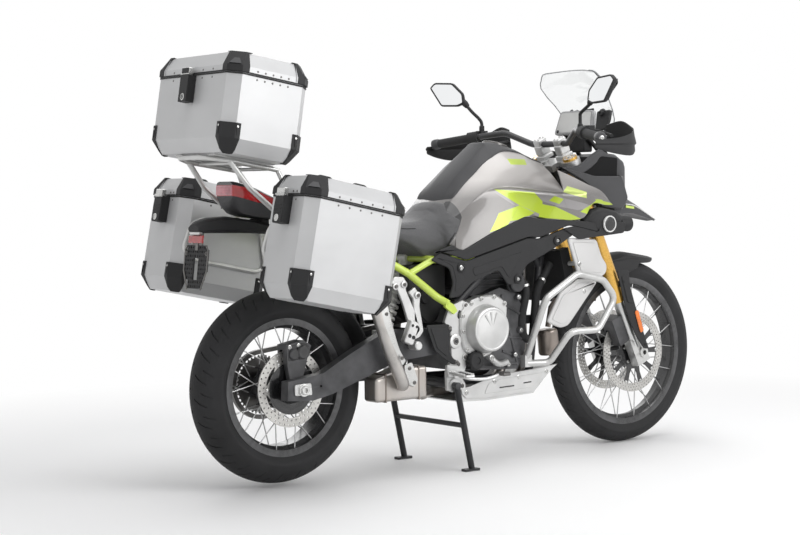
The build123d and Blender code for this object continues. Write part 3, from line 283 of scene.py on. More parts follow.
class Nodes:
    """Short names for building a material's node tree."""

    def __init__(self, name):
        self.material = bpy.data.materials.new(name)
        self.material.use_nodes = True
        self.tree = self.material.node_tree
        self.shader = self.tree.nodes["Principled BSDF"]
        self.place = self.tree.nodes.new("ShaderNodeTexCoord").outputs["Object"]

    def new(self, kind, **values):
        node = self.tree.nodes.new("ShaderNode" + kind)
        for key, value in values.items():
            setattr(node, key, value)
        return node

    def link(self, source, target):
        self.tree.links.new(source, target)

    def put(self, node, index, value):
        """A socket takes a link or a number."""
        if isinstance(value, bpy.types.NodeSocket):
            self.link(value, node.inputs[index])
        else:
            node.inputs[index].default_value = value

    def math(self, operation, a, b=0.0):
        node = self.new("Math", operation=operation)
        self.put(node, 0, a)
        self.put(node, 1, b)
        return node.outputs[0]

    def stretched(self, scale):
        """The point on the piece, scaled along each axis."""
        node = self.new("Mapping")
        self.link(self.place, node.inputs["Vector"])
        node.inputs["Scale"].default_value = scale
        return node.outputs[0]

    def noise(self, scale, detail, where=None):
        node = self.new("TexNoise")
        self.link(where or self.place, node.inputs["Vector"])
        node.inputs["Scale"].default_value = scale
        node.inputs["Detail"].default_value = detail
        return node.outputs["Fac"]

    def ranged(self, value, low, high, to_low, to_high):
        """The value carried from one range over to another."""
        node = self.new("MapRange")
        self.put(node, 0, value)
        for index, number in zip((1, 2, 3, 4), (low, high, to_low, to_high)):
            node.inputs[index].default_value = number
        return node.outputs[0]

    def mix(self, factor, a, b):
        """Colour a where factor is 0, b where it is 1."""
        node = self.new("Mix", data_type="RGBA")
        self.put(node, 0, factor)
        for index, colour in ((6, a), (7, b)):
            if isinstance(colour, bpy.types.NodeSocket):
                self.link(colour, node.inputs[index])
            else:
                node.inputs[index].default_value = (*colour[:3], 1)
        return node.outputs[2]

    def axes(self):
        """Row-frame x, y and z of the point, from the rear axle in metres."""
        node = self.new("SeparateXYZ")
        self.link(self.place, node.inputs[0])
        return self.math("ADD", node.outputs[0], ORIGIN_X * MM), node.outputs[1], node.outputs[2]

    def product(self, a, b):
        return self.math("MULTIPLY", a, b)

    def total(self, a, b):
        return self.math("ADD", a, b)

    def inside(self, a, b, outline, soft=0.0006):
        """1 inside a convex outline of (a, b) points in millimetres, 0 outside."""
        value = None
        turn = 1 if signed_area([Vector(p) for p in outline]) > 0 else -1
        for p, q in zip(outline, outline[1:] + outline[:1]):
            way = (Vector(q) - Vector(p)).normalized() * turn
            normal = Vector((-way.y, way.x))
            distance = self.total(self.product(a, normal.x), self.product(b, normal.y))
            distance = self.math("SUBTRACT", distance, normal.dot(Vector(p)) * MM)
            value = distance if value is None else self.math("MINIMUM", value, distance)
        return self.ranged(value, -soft, soft, 0, 1)

    def flash(self, outlines):
        """1 inside any of the convex outlines on the machine's flanks."""
        x, _, z = self.axes()
        value = self.inside(x, z, outlines[0])
        for outline in outlines[1:]:
            value = self.math("MAXIMUM", value, self.inside(x, z, outline))
        return value

    def relief(self, height, strength, depth):
        """Fine bumps, their depth in metres."""
        node = self.new("Bump")
        node.inputs["Strength"].default_value = strength
        node.inputs["Distance"].default_value = depth
        self.link(height, node.inputs["Height"])
        self.link(node.outputs[0], self.shader.inputs["Normal"])


def shade(colour, amount):
    """The colour made darker or lighter."""
    return tuple(min(1.0, c * amount) for c in colour)


def finish(name, colour, rough, metal, mottle, mottle_scale, grain, grain_scale,
           stretch=(1, 1, 1), spread=0.08, wear=None, coat=0.0, depth=0.0003, shine=0.5, paint=None):
    """A surface: base colour that varies, roughness that varies, fine relief, and worn edges where asked."""
    n = Nodes(name)
    broad = n.noise(mottle_scale, 5)
    fine = n.noise(grain_scale, 3, n.stretched(stretch))
    tint = n.ranged(broad, 0.3, 0.7, 0, 1)
    base = n.mix(tint, shade(colour, 1 - mottle), shade(colour, 1 + mottle))
    if wear:
        edges = n.new("NewGeometry").outputs["Pointiness"]
        worn = n.product(n.ranged(edges, 0.53, 0.62, 0, 1), n.ranged(broad, 0.35, 0.65, 0.2, 0.9))
        base = n.mix(worn, base, wear)
    n.link(base, n.shader.inputs["Base Color"])
    mixed = n.total(n.product(fine, 0.5), n.product(broad, 0.5))
    roughness = n.ranged(mixed, 0.3, 0.7, max(0.02, rough - spread), min(1, rough + spread))
    n.link(roughness, n.shader.inputs["Roughness"])
    n.shader.inputs["Metallic"].default_value = metal
    n.shader.inputs["Specular IOR Level"].default_value = shine
    if coat:
        n.shader.inputs["Coat Weight"].default_value = coat
        n.shader.inputs["Coat Roughness"].default_value = 0.06
    n.relief(fine, grain, depth)
    if paint:
        paint(n, base)
    return n.material


def wheel_radius(n, centre):
    """Distance from a wheel's axle, in metres."""
    x, _, z = n.axes()
    dx = n.math("SUBTRACT", x, centre.x * MM)
    dz = n.math("SUBTRACT", z, centre.z * MM)
    return n.math("SQRT", n.total(n.product(dx, dx), n.product(dz, dz)))


SILVER = (0.31, 0.295, 0.285)
LIME, PALE_LIME = (0.40, 0.52, 0.03), (0.52, 0.62, 0.16)
# the first colour here is a darker silver, used both for a painted shadow under the lime wedge and for two
# darker bands
SLATE_AND_PAINTED_SHADOW, SEAT_BLACK = (0.26, 0.25, 0.25), (0.03, 0.03, 0.031)
# Flashes on the flanks, as convex outlines of (x, z), from the lowest layer to the topmost. The first slate
# outline is painted shadow, a darker silver band under the lime wedge's lower edge; the other two slate
# outlines are darker silver bands.
FLASHES_AND_PAINTED_SHADOW = (
    (SLATE_AND_PAINTED_SHADOW, (((796, 972), (812, 972), (990, 876), (968, 874), (880, 916)),
             ((985, 958), (1056, 957), (1120, 934), (1072, 907), (1012, 926)),
             ((1120, 934), (1190, 918), (1240, 900), (1160, 892), (1072, 907)))),
    (LIME, (((812, 972), (985, 958), (1010, 926), (988, 878), (905, 914)),
            ((1005, 930), (1060, 906), (1180, 884), (1225, 858), (1190, 845), (965, 862)),
            ((1170, 886), (1240, 862), (1290, 926), (1262, 930)),
            ((1250, 930), (1334, 914), (1345, 898), (1262, 904)),
            ((905, 914), (816, 888), (769, 823), (835, 840)),
            ((905, 914), (835, 840), (904, 866), (982, 876)),
            ((1040, 928), (1074, 944), (1112, 932), (1082, 915)),
            ((920, 1079), (1010, 1077), (998, 1056), (918, 1058)))),
    (PALE_LIME, (((1110, 958), (1134, 979), (1222, 956), (1214, 934)),)),
    (SEAT_BLACK, (((500, 932), (668, 932), (676, 905), (680, 877),
                   (668, 850), (649, 822), (612, 783), (500, 783)),)),
)


def silver_paint():
    """Warm metallic silver with painted light: darker low on the flanks and lighter above the shoulder, with
    the flashes along the flanks, one of them a painted shadow band.
    """
    def flashes_and_painted_light(n, base):
        x, y, z = n.axes()
        # painted top light: the silver is darkened low on the flanks and lightened above the shoulder, standing
        # in for light from above
        high = n.ranged(n.total(z, n.product(x, -0.02)), 0.925, 0.99, 0, 1)
        base = n.mix(high, shade(SILVER, 0.45), shade(SILVER, 1.3))
        base = n.mix(n.ranged(n.noise(2600, 1), 0.45, 0.75, 0, 0.3), base, shade(SILVER, 1.6))
        side = n.math("GREATER_THAN", n.math("ABSOLUTE", y), 0.075)
        # the slate layer includes a painted shadow under the lime wedge's lower edge
        for colour, outlines in FLASHES_AND_PAINTED_SHADOW:
            base = n.mix(n.product(n.flash(outlines), side), base, colour)
        n.link(base, n.shader.inputs["Base Color"])
    return finish("silver_paint", SILVER, 0.34, 0.3, 0.05, 5, 0.05, 1500, coat=0.7, spread=0.05, paint=flashes_and_painted_light)


def hub_finish(name, centre, shell):
    """Dark hub with bright spokes beyond the flange."""
    def parts(n, base):
        far = n.ranged(wheel_radius(n, centre), shell, shell + 0.001, 0, 1)
        n.link(n.mix(far, base, (0.5, 0.5, 0.5)), n.shader.inputs["Base Color"])
        n.link(far, n.shader.inputs["Metallic"])
    return finish(name, (0.03, 0.03, 0.032), 0.36, 0, 0.2, 14, 0.2, 900, paint=parts)


def brushed_disc(name, centre):
    """Steel with fine rings round the axle."""
    def rings(n, base):
        comb = n.new("CombineXYZ")
        n.link(n.product(wheel_radius(n, centre), 2600), comb.inputs[0])
        n.relief(n.noise(1.0, 2, comb.outputs[0]), 0.25, 0.0002)
    return finish(name, (0.52, 0.51, 0.49), 0.33, 0.75, 0.1, 18, 0, 900, paint=rings)


def case_alloy():
    """Anodised sheet: soft brushed grain and faint blotches."""
    def sheet(n, base):
        blotch = n.noise(3.5, 3, n.stretched((1, 1, 2.5)))
        base = n.mix(n.ranged(blotch, 0.35, 0.65, 0, 0.5), base, (0.60, 0.603, 0.607))
        n.link(base, n.shader.inputs["Base Color"])
    return finish("case_alloy", (0.54, 0.543, 0.547), 0.38, 0.2, 0.05, 6, 0.25, 260, stretch=(0.25, 0.25, 7),
                  spread=0.07, depth=0.0002, paint=sheet)


def vinyl():
    """Seat cover: pebbled grain with a slight sheen."""
    n = Nodes("seat_vinyl")
    cells = n.new("TexVoronoi", feature="DISTANCE_TO_EDGE")
    n.link(n.place, cells.inputs["Vector"])
    cells.inputs["Scale"].default_value = 520
    broad = n.noise(7, 4)
    base = n.mix(n.ranged(broad, 0.3, 0.7, 0, 1), (0.060, 0.060, 0.062), (0.085, 0.085, 0.088))
    base = n.mix(n.ranged(cells.outputs[0], 0, 0.08, 0.35, 0), base, (0.030, 0.030, 0.031))
    n.link(base, n.shader.inputs["Base Color"])
    n.link(n.ranged(broad, 0.3, 0.7, 0.5, 0.66), n.shader.inputs["Roughness"])
    n.shader.inputs["Sheen Weight"].default_value = 0.12
    n.relief(n.ranged(cells.outputs[0], 0, 0.25, 0, 1), 0.35, 0.0004)
    return n.material


def clear_plastic():
    """Clear plastic with faint dust."""
    n = Nodes("screen_clear")
    dust = n.noise(60, 6)
    base = n.mix(n.ranged(dust, 0.55, 0.8, 0, 0.15), (0.94, 0.95, 0.95), (0.9, 0.9, 0.9))
    n.link(base, n.shader.inputs["Base Color"])
    n.link(n.ranged(dust, 0.4, 0.8, 0.03, 0.11), n.shader.inputs["Roughness"])
    n.shader.inputs["Transmission Weight"].default_value = 1.0
    n.shader.inputs["IOR"].default_value = 1.45
    return n.material


def lens(name, colour):
    """Coloured lens with moulded flutes."""
    n = Nodes(name)
    waves = n.new("TexWave", wave_type="BANDS", bands_direction="Y")
    n.link(n.place, waves.inputs["Vector"])
    waves.inputs["Scale"].default_value = 60
    base = n.mix(n.ranged(n.noise(30, 3), 0.3, 0.7, 0, 1), shade(colour, 0.75), shade(colour, 1.15))
    n.link(base, n.shader.inputs["Base Color"])
    n.shader.inputs["Roughness"].default_value = 0.12
    n.shader.inputs["Coat Weight"].default_value = 0.8
    n.relief(waves.outputs["Fac"], 0.3, 0.0006)
    return n.material


def exhaust_steel():
    """Steel pipe, straw to brown where it has been hot."""
    def heat(n, base):
        z = n.axes()[2]
        hot = n.ranged(n.total(n.noise(7, 3), n.product(z, -0.9)), 0.05, 0.5, 0, 0.65)
        n.link(n.mix(hot, base, (0.33, 0.26, 0.21)), n.shader.inputs["Base Color"])
    return finish("steel_pipe", (0.5, 0.48, 0.46), 0.34, 0.85, 0.14, 14, 0.15, 500, spread=0.1, paint=heat)


BLACK_WEAR = (0.11, 0.11, 0.115)
# Each look: colour, roughness, metal, mottle and its scale, grain and its scale, then what else it has.
PLAIN = {
    "frame_black": ((0.024, 0.024, 0.026), 0.42, 0, 0.25, 10, 0.2, 800, dict(wear=BLACK_WEAR, shine=0.3)),
    "cast_alloy": ((0.56, 0.56, 0.555), 0.42, 0.75, 0.1, 12, 0.6, 520, dict(depth=0.0005)),
    "lime_paint": ((0.56, 0.70, 0.10), 0.34, 0, 0.06, 7, 0.08, 900, dict(coat=0.5)),
    "engine_black": ((0.022, 0.022, 0.024), 0.5, 0, 0.3, 14, 0.6, 420, dict(depth=0.0006, wear=BLACK_WEAR)),
    "engine_grey": ((0.55, 0.55, 0.545), 0.40, 0.7, 0.12, 13, 0.6, 520, dict(depth=0.0005)),
    "steel_brushed": ((0.6, 0.6, 0.59), 0.32, 0.85, 0.08, 9, 0.3, 300, dict(stretch=(0.2, 1, 6))),
    "steel_dark": ((0.16, 0.155, 0.15), 0.36, 0.8, 0.2, 20, 0.3, 500, {}),
    "black_plastic": ((0.026, 0.026, 0.027), 0.56, 0, 0.15, 8, 0.7, 900, dict(depth=0.0004, shine=0.25)),
    "gloss_black": ((0.016, 0.016, 0.017), 0.2, 0, 0.1, 8, 0.05, 900, dict(coat=0.6)),
    "grey_plastic": ((0.055, 0.055, 0.058), 0.5, 0, 0.12, 8, 0.6, 900, dict(depth=0.0004, shine=0.3)),
    "silver_tube": ((0.56, 0.56, 0.55), 0.34, 0.55, 0.08, 10, 0.15, 700, dict(coat=0.3)),
    "lamp_glass": ((0.35, 0.36, 0.38), 0.1, 0.3, 0.25, 40, 0.2, 150, dict(coat=1.0)),
    "spring_white": ((0.7, 0.7, 0.68), 0.35, 0, 0.08, 20, 0.1, 600, dict(coat=0.3)),
    "gold_anodised": ((0.72, 0.43, 0.10), 0.3, 0.8, 0.07, 12, 0.15, 600, {}),
    "grey_bar": ((0.05, 0.05, 0.052), 0.4, 0.3, 0.15, 12, 0.2, 800, dict(wear=BLACK_WEAR)),
    "rubber_black": ((0.02, 0.02, 0.021), 0.75, 0, 0.2, 16, 0.7, 700, dict(depth=0.0007)),
    "tyre_rubber": ((0.022, 0.022, 0.023), 0.72, 0, 0.35, 8, 0.5, 1300,
                    dict(spread=0.12, depth=0.0006, shine=0.3)),
    "rim_black": ((0.02, 0.02, 0.021), 0.3, 0, 0.15, 12, 0.1, 900, dict(coat=0.35, wear=BLACK_WEAR)),
    "hub_lime": ((0.03, 0.03, 0.032), 0.36, 0, 0.2, 14, 0.2, 900, {}),
    "mirror_glass": ((0.86, 0.87, 0.88), 0.03, 1.0, 0.02, 5, 0.02, 60, dict(spread=0.01)),
    "badge_white": ((0.75, 0.75, 0.74), 0.4, 0, 0.04, 30, 0.1, 900, {}),
    "pale_silver": ((0.62, 0.615, 0.61), 0.36, 0.2, 0.05, 6, 0.06, 1300, dict(coat=0.5)),
    "heated_steel": ((0.27, 0.235, 0.21), 0.34, 0.7, 0.16, 12, 0.2, 500, {}),
    "dash_grey": ((0.40, 0.40, 0.405), 0.5, 0, 0.08, 9, 0.4, 900, {}),
    "screen_edge": ((0.34, 0.35, 0.36), 0.25, 0, 0.08, 20, 0.1, 600, dict(coat=0.5)),
    # painted shade: near-black plastic, darker than black_plastic, for the fork shrouds that sit in shade
    # between the fairing's wing and the pod
    "painted_shade_black": ((0.010, 0.010, 0.0105), 0.7, 0, 0.2, 10, 0.6, 800, dict(depth=0.0004, shine=0.12)),
    "dark_cast": ((0.03, 0.03, 0.031), 0.46, 0, 0.2, 16, 0.5, 500, dict(wear=BLACK_WEAR)),
    "bright_screws": ((0.55, 0.55, 0.54), 0.25, 0.9, 0.1, 30, 0.1, 900, {}),
}
FINISHES = {name: finish(name, *values[:7], **values[7]) for name, values in PLAIN.items()}
FINISHES.update(
    steel_pipe=exhaust_steel(),
    silver_paint=silver_paint(),
    screen_clear=clear_plastic(),
    seat_vinyl=vinyl(),
    case_alloy=case_alloy(),
    disc_steel=brushed_disc("disc_steel", FRONT_AXLE),
    rear_disc=brushed_disc("rear_disc_steel", REAR_AXLE),
    red_lens=lens("red_lens", (0.42, 0.01, 0.012)),
    amber_lens=lens("amber_lens", (0.8, 0.18, 0.01)),
    pink_lens=lens("pale_red_lens", (0.62, 0.2, 0.24)),
)
NODE_FINISHES = {
    "front_hub": hub_finish("front_hub_finish", FRONT_AXLE, 0.046),
    "rear_hub": hub_finish("rear_hub_finish", REAR_AXLE, 0.078),
    "rear_rotors": FINISHES["rear_disc"],
    "swingarm": FINISHES["frame_black"],
    "luggage_rack": FINISHES["silver_tube"],
    "case_carriers": FINISHES["silver_tube"],
}

for part in frame["record"]["subparts"]:
    node = NODES[part["node"]]
    node.data.materials.clear()
    node.data.materials.append(NODE_FINISHES.get(part["node"], FINISHES[part["material_slot"]]))


# ---------------------------------------------------------------- wheels


def round_axle(axle, radius, turn, y=0):
    """A point at a radius and an angle from an axle."""
    return axle.x + radius * math.cos(turn), y, axle.z + radius * math.sin(turn)


def tyre(name, body, axle, outer, width, bead, rim_width, pitches):
    """A tyre whose grooves follow its own grid, so that their edges stay crisp."""
    arc, half = 0.4875 * width, math.radians(67)        # radius of the crown's section, and its half angle
    lean, depth = 0.17, 4.5                             # the grooves' slant across the tread, and their depth
    long_groove, short_groove = (0.08, 0.66), (0.42, 0.92)      # shares of the half angle
    shares = (0, 0.04, 0.08, 0.1, 0.17, 0.25, 0.33, 0.4, 0.42, 0.45,
              0.52, 0.59, 0.64, 0.66, 0.74, 0.82, 0.89, 0.92, 1.0)
    flange = bead + 16
    walls = [((outer - 0.3 * width + flange) / 2 + 0.06 * width, width * 0.492), (flange + 26, width * 0.497),
             (flange + 23, width * 0.505 - 1), (flange + 12, width * 0.47), (flange + 2, rim_width / 2 + 6),
             (bead + 1, rim_width / 2 - 1), (bead + 1, rim_width / 2 - 10)]
    section = [(share, outer - arc * (1 - math.cos(share * half)), arc * math.sin(share * half))
               for share in shares]
    section += [(2, r, min(w, width / 2)) for r, w in walls]
    step = math.pi / pitches
    cuts = ((0, 0), (1.0 / outer, 1), (4.6 / outer, 1), (5.6 / outer, 0), (0.45 * step, 0), (0.72 * step, 0))
    around = [(math.pi * k / pitches + turn, cut, k % 2) for k in range(2 * pitches) for turn, cut in cuts]
    rings = []
    for share, r, y in [(share, r, -y) for share, r, y in section[::-1]] + section[1:]:
        skew = lean * min(1.0, share) ** 0.62
        ring = []
        for turn, cut, odd in around:
            low, high = long_groove if odd == (y > 0) else short_groove
            sunk = depth * (1 - 0.5 * share) if cut and low + 0.015 < share < high - 0.015 else 0
            ring.append(round_axle(axle, r - sunk, turn + skew, y))
        rings.append(ring)
    Shape().skin(rings, closed=True).piece(name + "_tread", "tyre_rubber", 28, name, body=body)


def drilled(shape, axle, y0, thick, inner, outer, rows, columns, hole):
    """A ring with staggered round holes, as cells that each have one hole."""
    step, high = 2 * math.pi / columns, (outer - inner) / rows
    for i in range(rows):
        r0, r1 = inner + i * high, inner + (i + 1) * high
        middle = (r0 + r1) / 2
        edge = ((r0, 0), (r0, 0.5), (r0, 1), (middle, 1), (r1, 1), (r1, 0.5), (r1, 0), (middle, 0))
        for k in range(columns):
            a0 = step * (k + 0.5 * (i % 2))
            layers = []
            for y in (y0, y0 + thick):
                layer = [round_axle(axle, r, a0 + share * step, y) for r, share in edge]
                for m in range(8):
                    t = math.radians(-135 + 45 * m)
                    r = middle + hole * math.sin(t)
                    layer.append(round_axle(axle, r, a0 + step / 2 + hole * math.cos(t) / r, y))
                layers.append(layer)
            shape.cell(*layers, ((0, 1) if i == 0 else ()) + ((4, 5) if i == rows - 1 else ()))
    return shape


def star(shape, axle, y0, thick, count, steps, edge):
    """A plate whose outline repeats steps of (share of a pitch, radius) round the axle."""
    pitch = 2 * math.pi / count
    outline = [round_axle(axle, r, pitch * (k + share))[::2] for k in range(count) for share, r in steps]
    return shape.slab(outline, at_side(y0), thick, edge)


def spider(shape, y, thick, axle, core, reach, arms, waist=0.7):
    """The disc's dark carrier: a star with round-ended arms and windows between them."""
    half = (0.15, reach), (0.17, reach * waist), (0.36, core)
    steps = [(-share, r) for share, r in reversed(half)] + list(half)
    return star(shape, axle, y, thick, arms, steps, 1.0)


def wheel_ring(shape, axle, y, way, radius, count, head, height, turn=0.0):
    """Bolts in a circle round the axle."""
    for k in range(count):
        a = turn + 2 * math.pi * k / count
        shape.bolt(round_axle(axle, radius, a, y), (0, way, 0), head, height)
    return shape


def front_wheel():
    """The tyre, and on each side a drilled disc on its carrier with the bolts that hold them."""
    tyre("front_tyre", "front_wheel", FRONT_AXLE, 347.3, 90, 266.7, 62, 34)
    rings, carriers, studs = Shape(), Shape(), Shape()
    for side in (-1, 1):
        y0 = 68 if side > 0 else -73
        face = 72.6 * side
        drilled(rings, FRONT_AXLE, y0 + 0.3, 4.4, 121, 152.8, 3, 60, 3.1)
        spider(carriers, y0 + 0.8, 3.4, FRONT_AXLE, 62, 123, 10)
        carriers.lathe((FRONT_AXLE.x, 68.2 * side, FRONT_AXLE.z), (0, side, 0),
                       ((0, 30.2), (0, 66), (3.6, 66), (4.6, 60), (4.6, 31)), 48, closed=True)
        wheel_ring(studs, FRONT_AXLE, face, side, 120, 10, 4.2, 2.2)
        wheel_ring(studs, FRONT_AXLE, face, side, 46, 5, 4.5, 2.6, 0.3)
    rings.piece("front_disc_rings", "disc_steel", 30, "front_discs", body="front_wheel")
    carriers.piece("front_disc_carriers", "gloss_black", 30, body="front_wheel")
    studs.piece("front_disc_studs", "steel_brushed", 30, body="front_wheel", look="bright_screws")


def rear_wheel():
    """The tyre, the single disc on the right, the sprocket on the left and the bolts of both."""
    tyre("rear_tyre", "rear_wheel", REAR_AXLE, 320.8, 150, 215.9, 108, 26)
    ring = drilled(Shape(), REAR_AXLE, -88.7, 4.4, 98, 127.8, 2, 38, 3.3)
    ring.piece("rear_disc_ring", "disc_steel", 30, "rear_rotors", body="rear_wheel", look="rear_disc")
    ears = spider(Shape(), -88.5, 4.0, REAR_AXLE, 84, 99.5, 6, 0.93)
    ears.piece("rear_disc_ears", "disc_steel", 30, body="rear_wheel", look="rear_disc")
    rows = ((0, 30.5), (0, 82), (2, 86), (5.6, 86), (6.4, 80), (6.4, 50), (4.9, 46), (4.9, 31))
    carrier = Shape().lathe((0, -84.3, REAR_AXLE.z), RIGHT, rows, 48, closed=True)
    carrier.piece("rear_disc_carrier", "gloss_black", 30, body="rear_wheel")
    tooth = ((-0.5, 92), (-0.28, 92), (-0.1, 99), (0.1, 99), (0.28, 92))
    sprocket = star(Shape(), REAR_AXLE, 90.5, 6, 42, tooth, 0.8)
    sprocket.piece("rear_sprocket", "steel_dark", 30, body="rear_wheel")
    studs = wheel_ring(Shape(), REAR_AXLE, -90.3, -1, 92, 6, 4.2, 2.2)
    wheel_ring(studs, REAR_AXLE, 96.2, 1, 60, 6, 6, 5, 0.2)
    studs.piece("rear_wheel_studs", "steel_brushed", 30, body="rear_wheel", look="bright_screws")


front_wheel()
rear_wheel()


# ---------------------------------------------------------------- cases

BEVEL, BAND, BAND_IN = 36, 22, 22       # cut corner; height of the lid's upright band; its slope inward above
TOP_CASE = dict(length=298, width=482, height=250, lid=66, tilt=9.5, at=(-336, 0, 1107), latch_in=5.3)
SIDE_CASE = dict(length=378, width=243, height=318, lid=64, tilt=11.7, latch_in=0)
RIGHT_CASE = dict(SIDE_CASE, at=(-248, -374.5, 655))
LEFT_CASE = dict(SIDE_CASE, at=(-248, 374.5, 655))


def case_place(case):
    """From a case's own frame, its rear lower edge at the origin, to the machine's."""
    return Matrix.Translation(case["at"]) @ Matrix.Rotation(math.radians(case["tilt"]), 4, "Y")


def octagon(case, z, grow=0.0):
    """Outline of a case at one height, its corners cut off."""
    x0, x1, w = -grow, case["length"] + grow, case["width"] / 2 + grow
    return [(x0 + BEVEL, -w, z), (x1 - BEVEL, -w, z), (x1, -w + BEVEL, z), (x1, w - BEVEL, z),
            (x1 - BEVEL, w, z), (x0 + BEVEL, w, z), (x0, w - BEVEL, z), (x0, -w + BEVEL, z)]


CORNERS = [(sx, sy) for sx in (-1, 1) for sy in (-1, 1)]        # rear or front, then right or left


def corner_line(case, sx, sy, z, grow, reach):
    """Four points round one upright corner, as far as reach from it."""
    x, y = (case["length"] if sx > 0 else 0), sy * case["width"] / 2
    points = ((x - sx * (reach - grow), y + sy * grow), (x - sx * (BEVEL - grow), y + sy * grow),
              (x + sx * grow, y - sy * (BEVEL - grow)), (x + sx * grow, y - sy * (reach - grow)))
    return [Vector((*p, z)) for p in points]


def seam(case, z0, z1, grow):
    """A flat band round a case, standing grow out of its wall."""
    rings = [octagon(case, z0, 0.2), octagon(case, z0, grow), octagon(case, z1, grow), octagon(case, z1, 0.2)]
    return Shape().skin(rings, closed=True).moved(case_place(case))


def crowns(case):
    """Black covers over the lid's corners, down its slope and on its top."""
    shape = Shape()
    low, band, top = case["height"] + 3.5, case["height"] + 0.5 + BAND, case["height"] + 0.5 + case["lid"]
    rows = ((low, 4.4, 61.5, 0), (band + 0.6, 4.4, 61.5, 0), (top + 2.8, 4.4 - BAND_IN, 65.9 - BAND_IN, 2.5))
    for sx, sy in CORNERS:
        rings = []
        for z, grow, reach, drop in rows:
            inner = corner_line(case, sx, sy, z - drop, grow - 3.6, reach)
            rings.append(corner_line(case, sx, sy, z, grow, reach) + inner[::-1])
        shape.skin(rings)
        x, y = (case["length"] if sx > 0 else 0), sy * case["width"] / 2
        flat = [(p.x, p.y) for p in corner_line(case, sx, sy, 0, 4.2 - BAND_IN, 57)]
        shape.slab(flat + [(x - sx * 62, y - sy * 62)], moved_by(0, 0, top + 0.7), 2.2, 0.6)
    return shape.moved(case_place(case))


def crown_insets(case):
    """Grey triangles let into the corner covers."""
    shape = Shape()
    band, top = case["height"] + 0.5 + BAND, case["height"] + 0.5 + case["lid"]
    for sx, sy in CORNERS:
        low = corner_line(case, sx, sy, band + 5, 5.0, 61)
        high = corner_line(case, sx, sy, top - 6, 5.0 - BAND_IN * 0.93, 61)
        a, b, c = low[1].lerp(low[2], 0.12), low[1].lerp(low[2], 0.88), high[1].lerp(high[2], 0.5)
        back = (Vector((case["length"] / 2, 0, band)) - c).normalized() * 2.2
        shape.skin([[a, b, c], [a + back, b + back, c + back]])
    return shape.moved(case_place(case))


def foot_caps(case):
    """Reliefs on the lower corner caps: a raised shield on each face and the screws that hold it."""
    shape, screws = Shape(), Shape()
    for sx, sy in CORNERS:
        line = corner_line(case, sx, sy, 0, 3.2, 50)
        for a, b in (line[:2], line[2:]):
            along = (b - a).normalized()
            out = Vector((along.y, -along.x, 0))
            if out.dot(a - Vector((case["length"] / 2, 0, 0))) < 0:
                out = -out
            place = facing(a, along, Vector((0, 0, 1)), out)
            run = (b - a).length
            shape.slab([(2, 88), (run - 2, 88), (run - 2, 82), (run * 0.5, 52), (2, 82)], place, 1.6, 0.7)
            screws.bolt(place @ Vector((run * 0.5, 80, 1.2)), out, 2.6, 2.2)
    place = case_place(case)
    return shape.moved(place), screws.moved(place)


def handle_loops(case):
    """Black rings over the lid's lashing eyes, with their feet."""
    shape = Shape()
    length, width, z = case["length"], case["width"], case["height"] + 0.5 + case["lid"]
    spots = ((0.5 * length, -0.2 * width), (0.5 * length, 0.2 * width))
    if width < length:
        spots = ((0.32 * length, 0), (0.68 * length, 0))
    for x, y in spots:
        arch = rounded([(x - 31, z), (x - 22, z + 14), (x + 22, z + 14), (x + 31, z)], 8, 4)[5:-5]
        shape.tube([(px, y, pz) for px, pz in ((x - 31, z - 0.5), *arch, (x + 31, z - 0.5))], 5.4, 12)
        for foot in (x - 34, x + 34):
            shape.box((foot - 13, y - 10, z), (foot + 13, y + 10, z + 3.2), 1.0)
    return shape.moved(case_place(case))


def rivets(case, z):
    """Flat rivet heads round the sides and the rear at one height."""
    shape = Shape()
    length, width = case["length"], case["width"]
    head = ((-0.5, 3.4), (0.4, 3.4), (1.3, 2.0), (1.5, 0.3))
    for side in (-1, 1):
        for k in range(1, 6):
            shape.lathe((62 + (length - 124) * k / 6, side * width / 2, z), (0, side, 0), head, 10)
    for k in (1, 2, 4, 5):
        shape.lathe((0, -width / 2 + 60 + (width - 120) * k / 6, z), BACK, head, 10)
    return shape.moved(case_place(case))


def latch(case):
    """Ribbed cover on the latch block, its bright hinge bar and the round lock."""
    dark, bright = Shape(), Shape()
    h = case["height"]
    dark.slab([(-23, h - 90), (23, h - 90), (25.5, h - 40), (23, h - 10), (-23, h - 10), (-25.5, h - 40)],
              Matrix(((0, 0, -1, -29.5), (1, 0, 0, 0), (0, 1, 0, 0), (0, 0, 0, 1))), 4.0, 1.5)
    for k in range(3):
        z = h - 62 + 12 * k
        dark.box((-35, -17, z), (-33, 17, z + 5), 0.8)
    bright.box((-33.5, -21, h - 9), (-16.5, 21, h + 17.5), 1.5)
    bright.tube([(-32, -25, h - 3), (-32, 25, h - 3)], 3.6, 12)
    barrel = (0, 11.5), (2.2, 11.5), (3.0, 10.5), (3.0, 8.2), (1.8, 8), (1.8, 1.6)
    bright.lathe((-33, 0, h - 77), BACK, barrel, 28)
    bright.box((-35.6, -1.6, h - 83), (-34.6, 1.6, h - 71), 0.3)
    place = case_place(case) @ Matrix.Translation((case["latch_in"], 0, 0))
    return dark.moved(place), bright.moved(place)


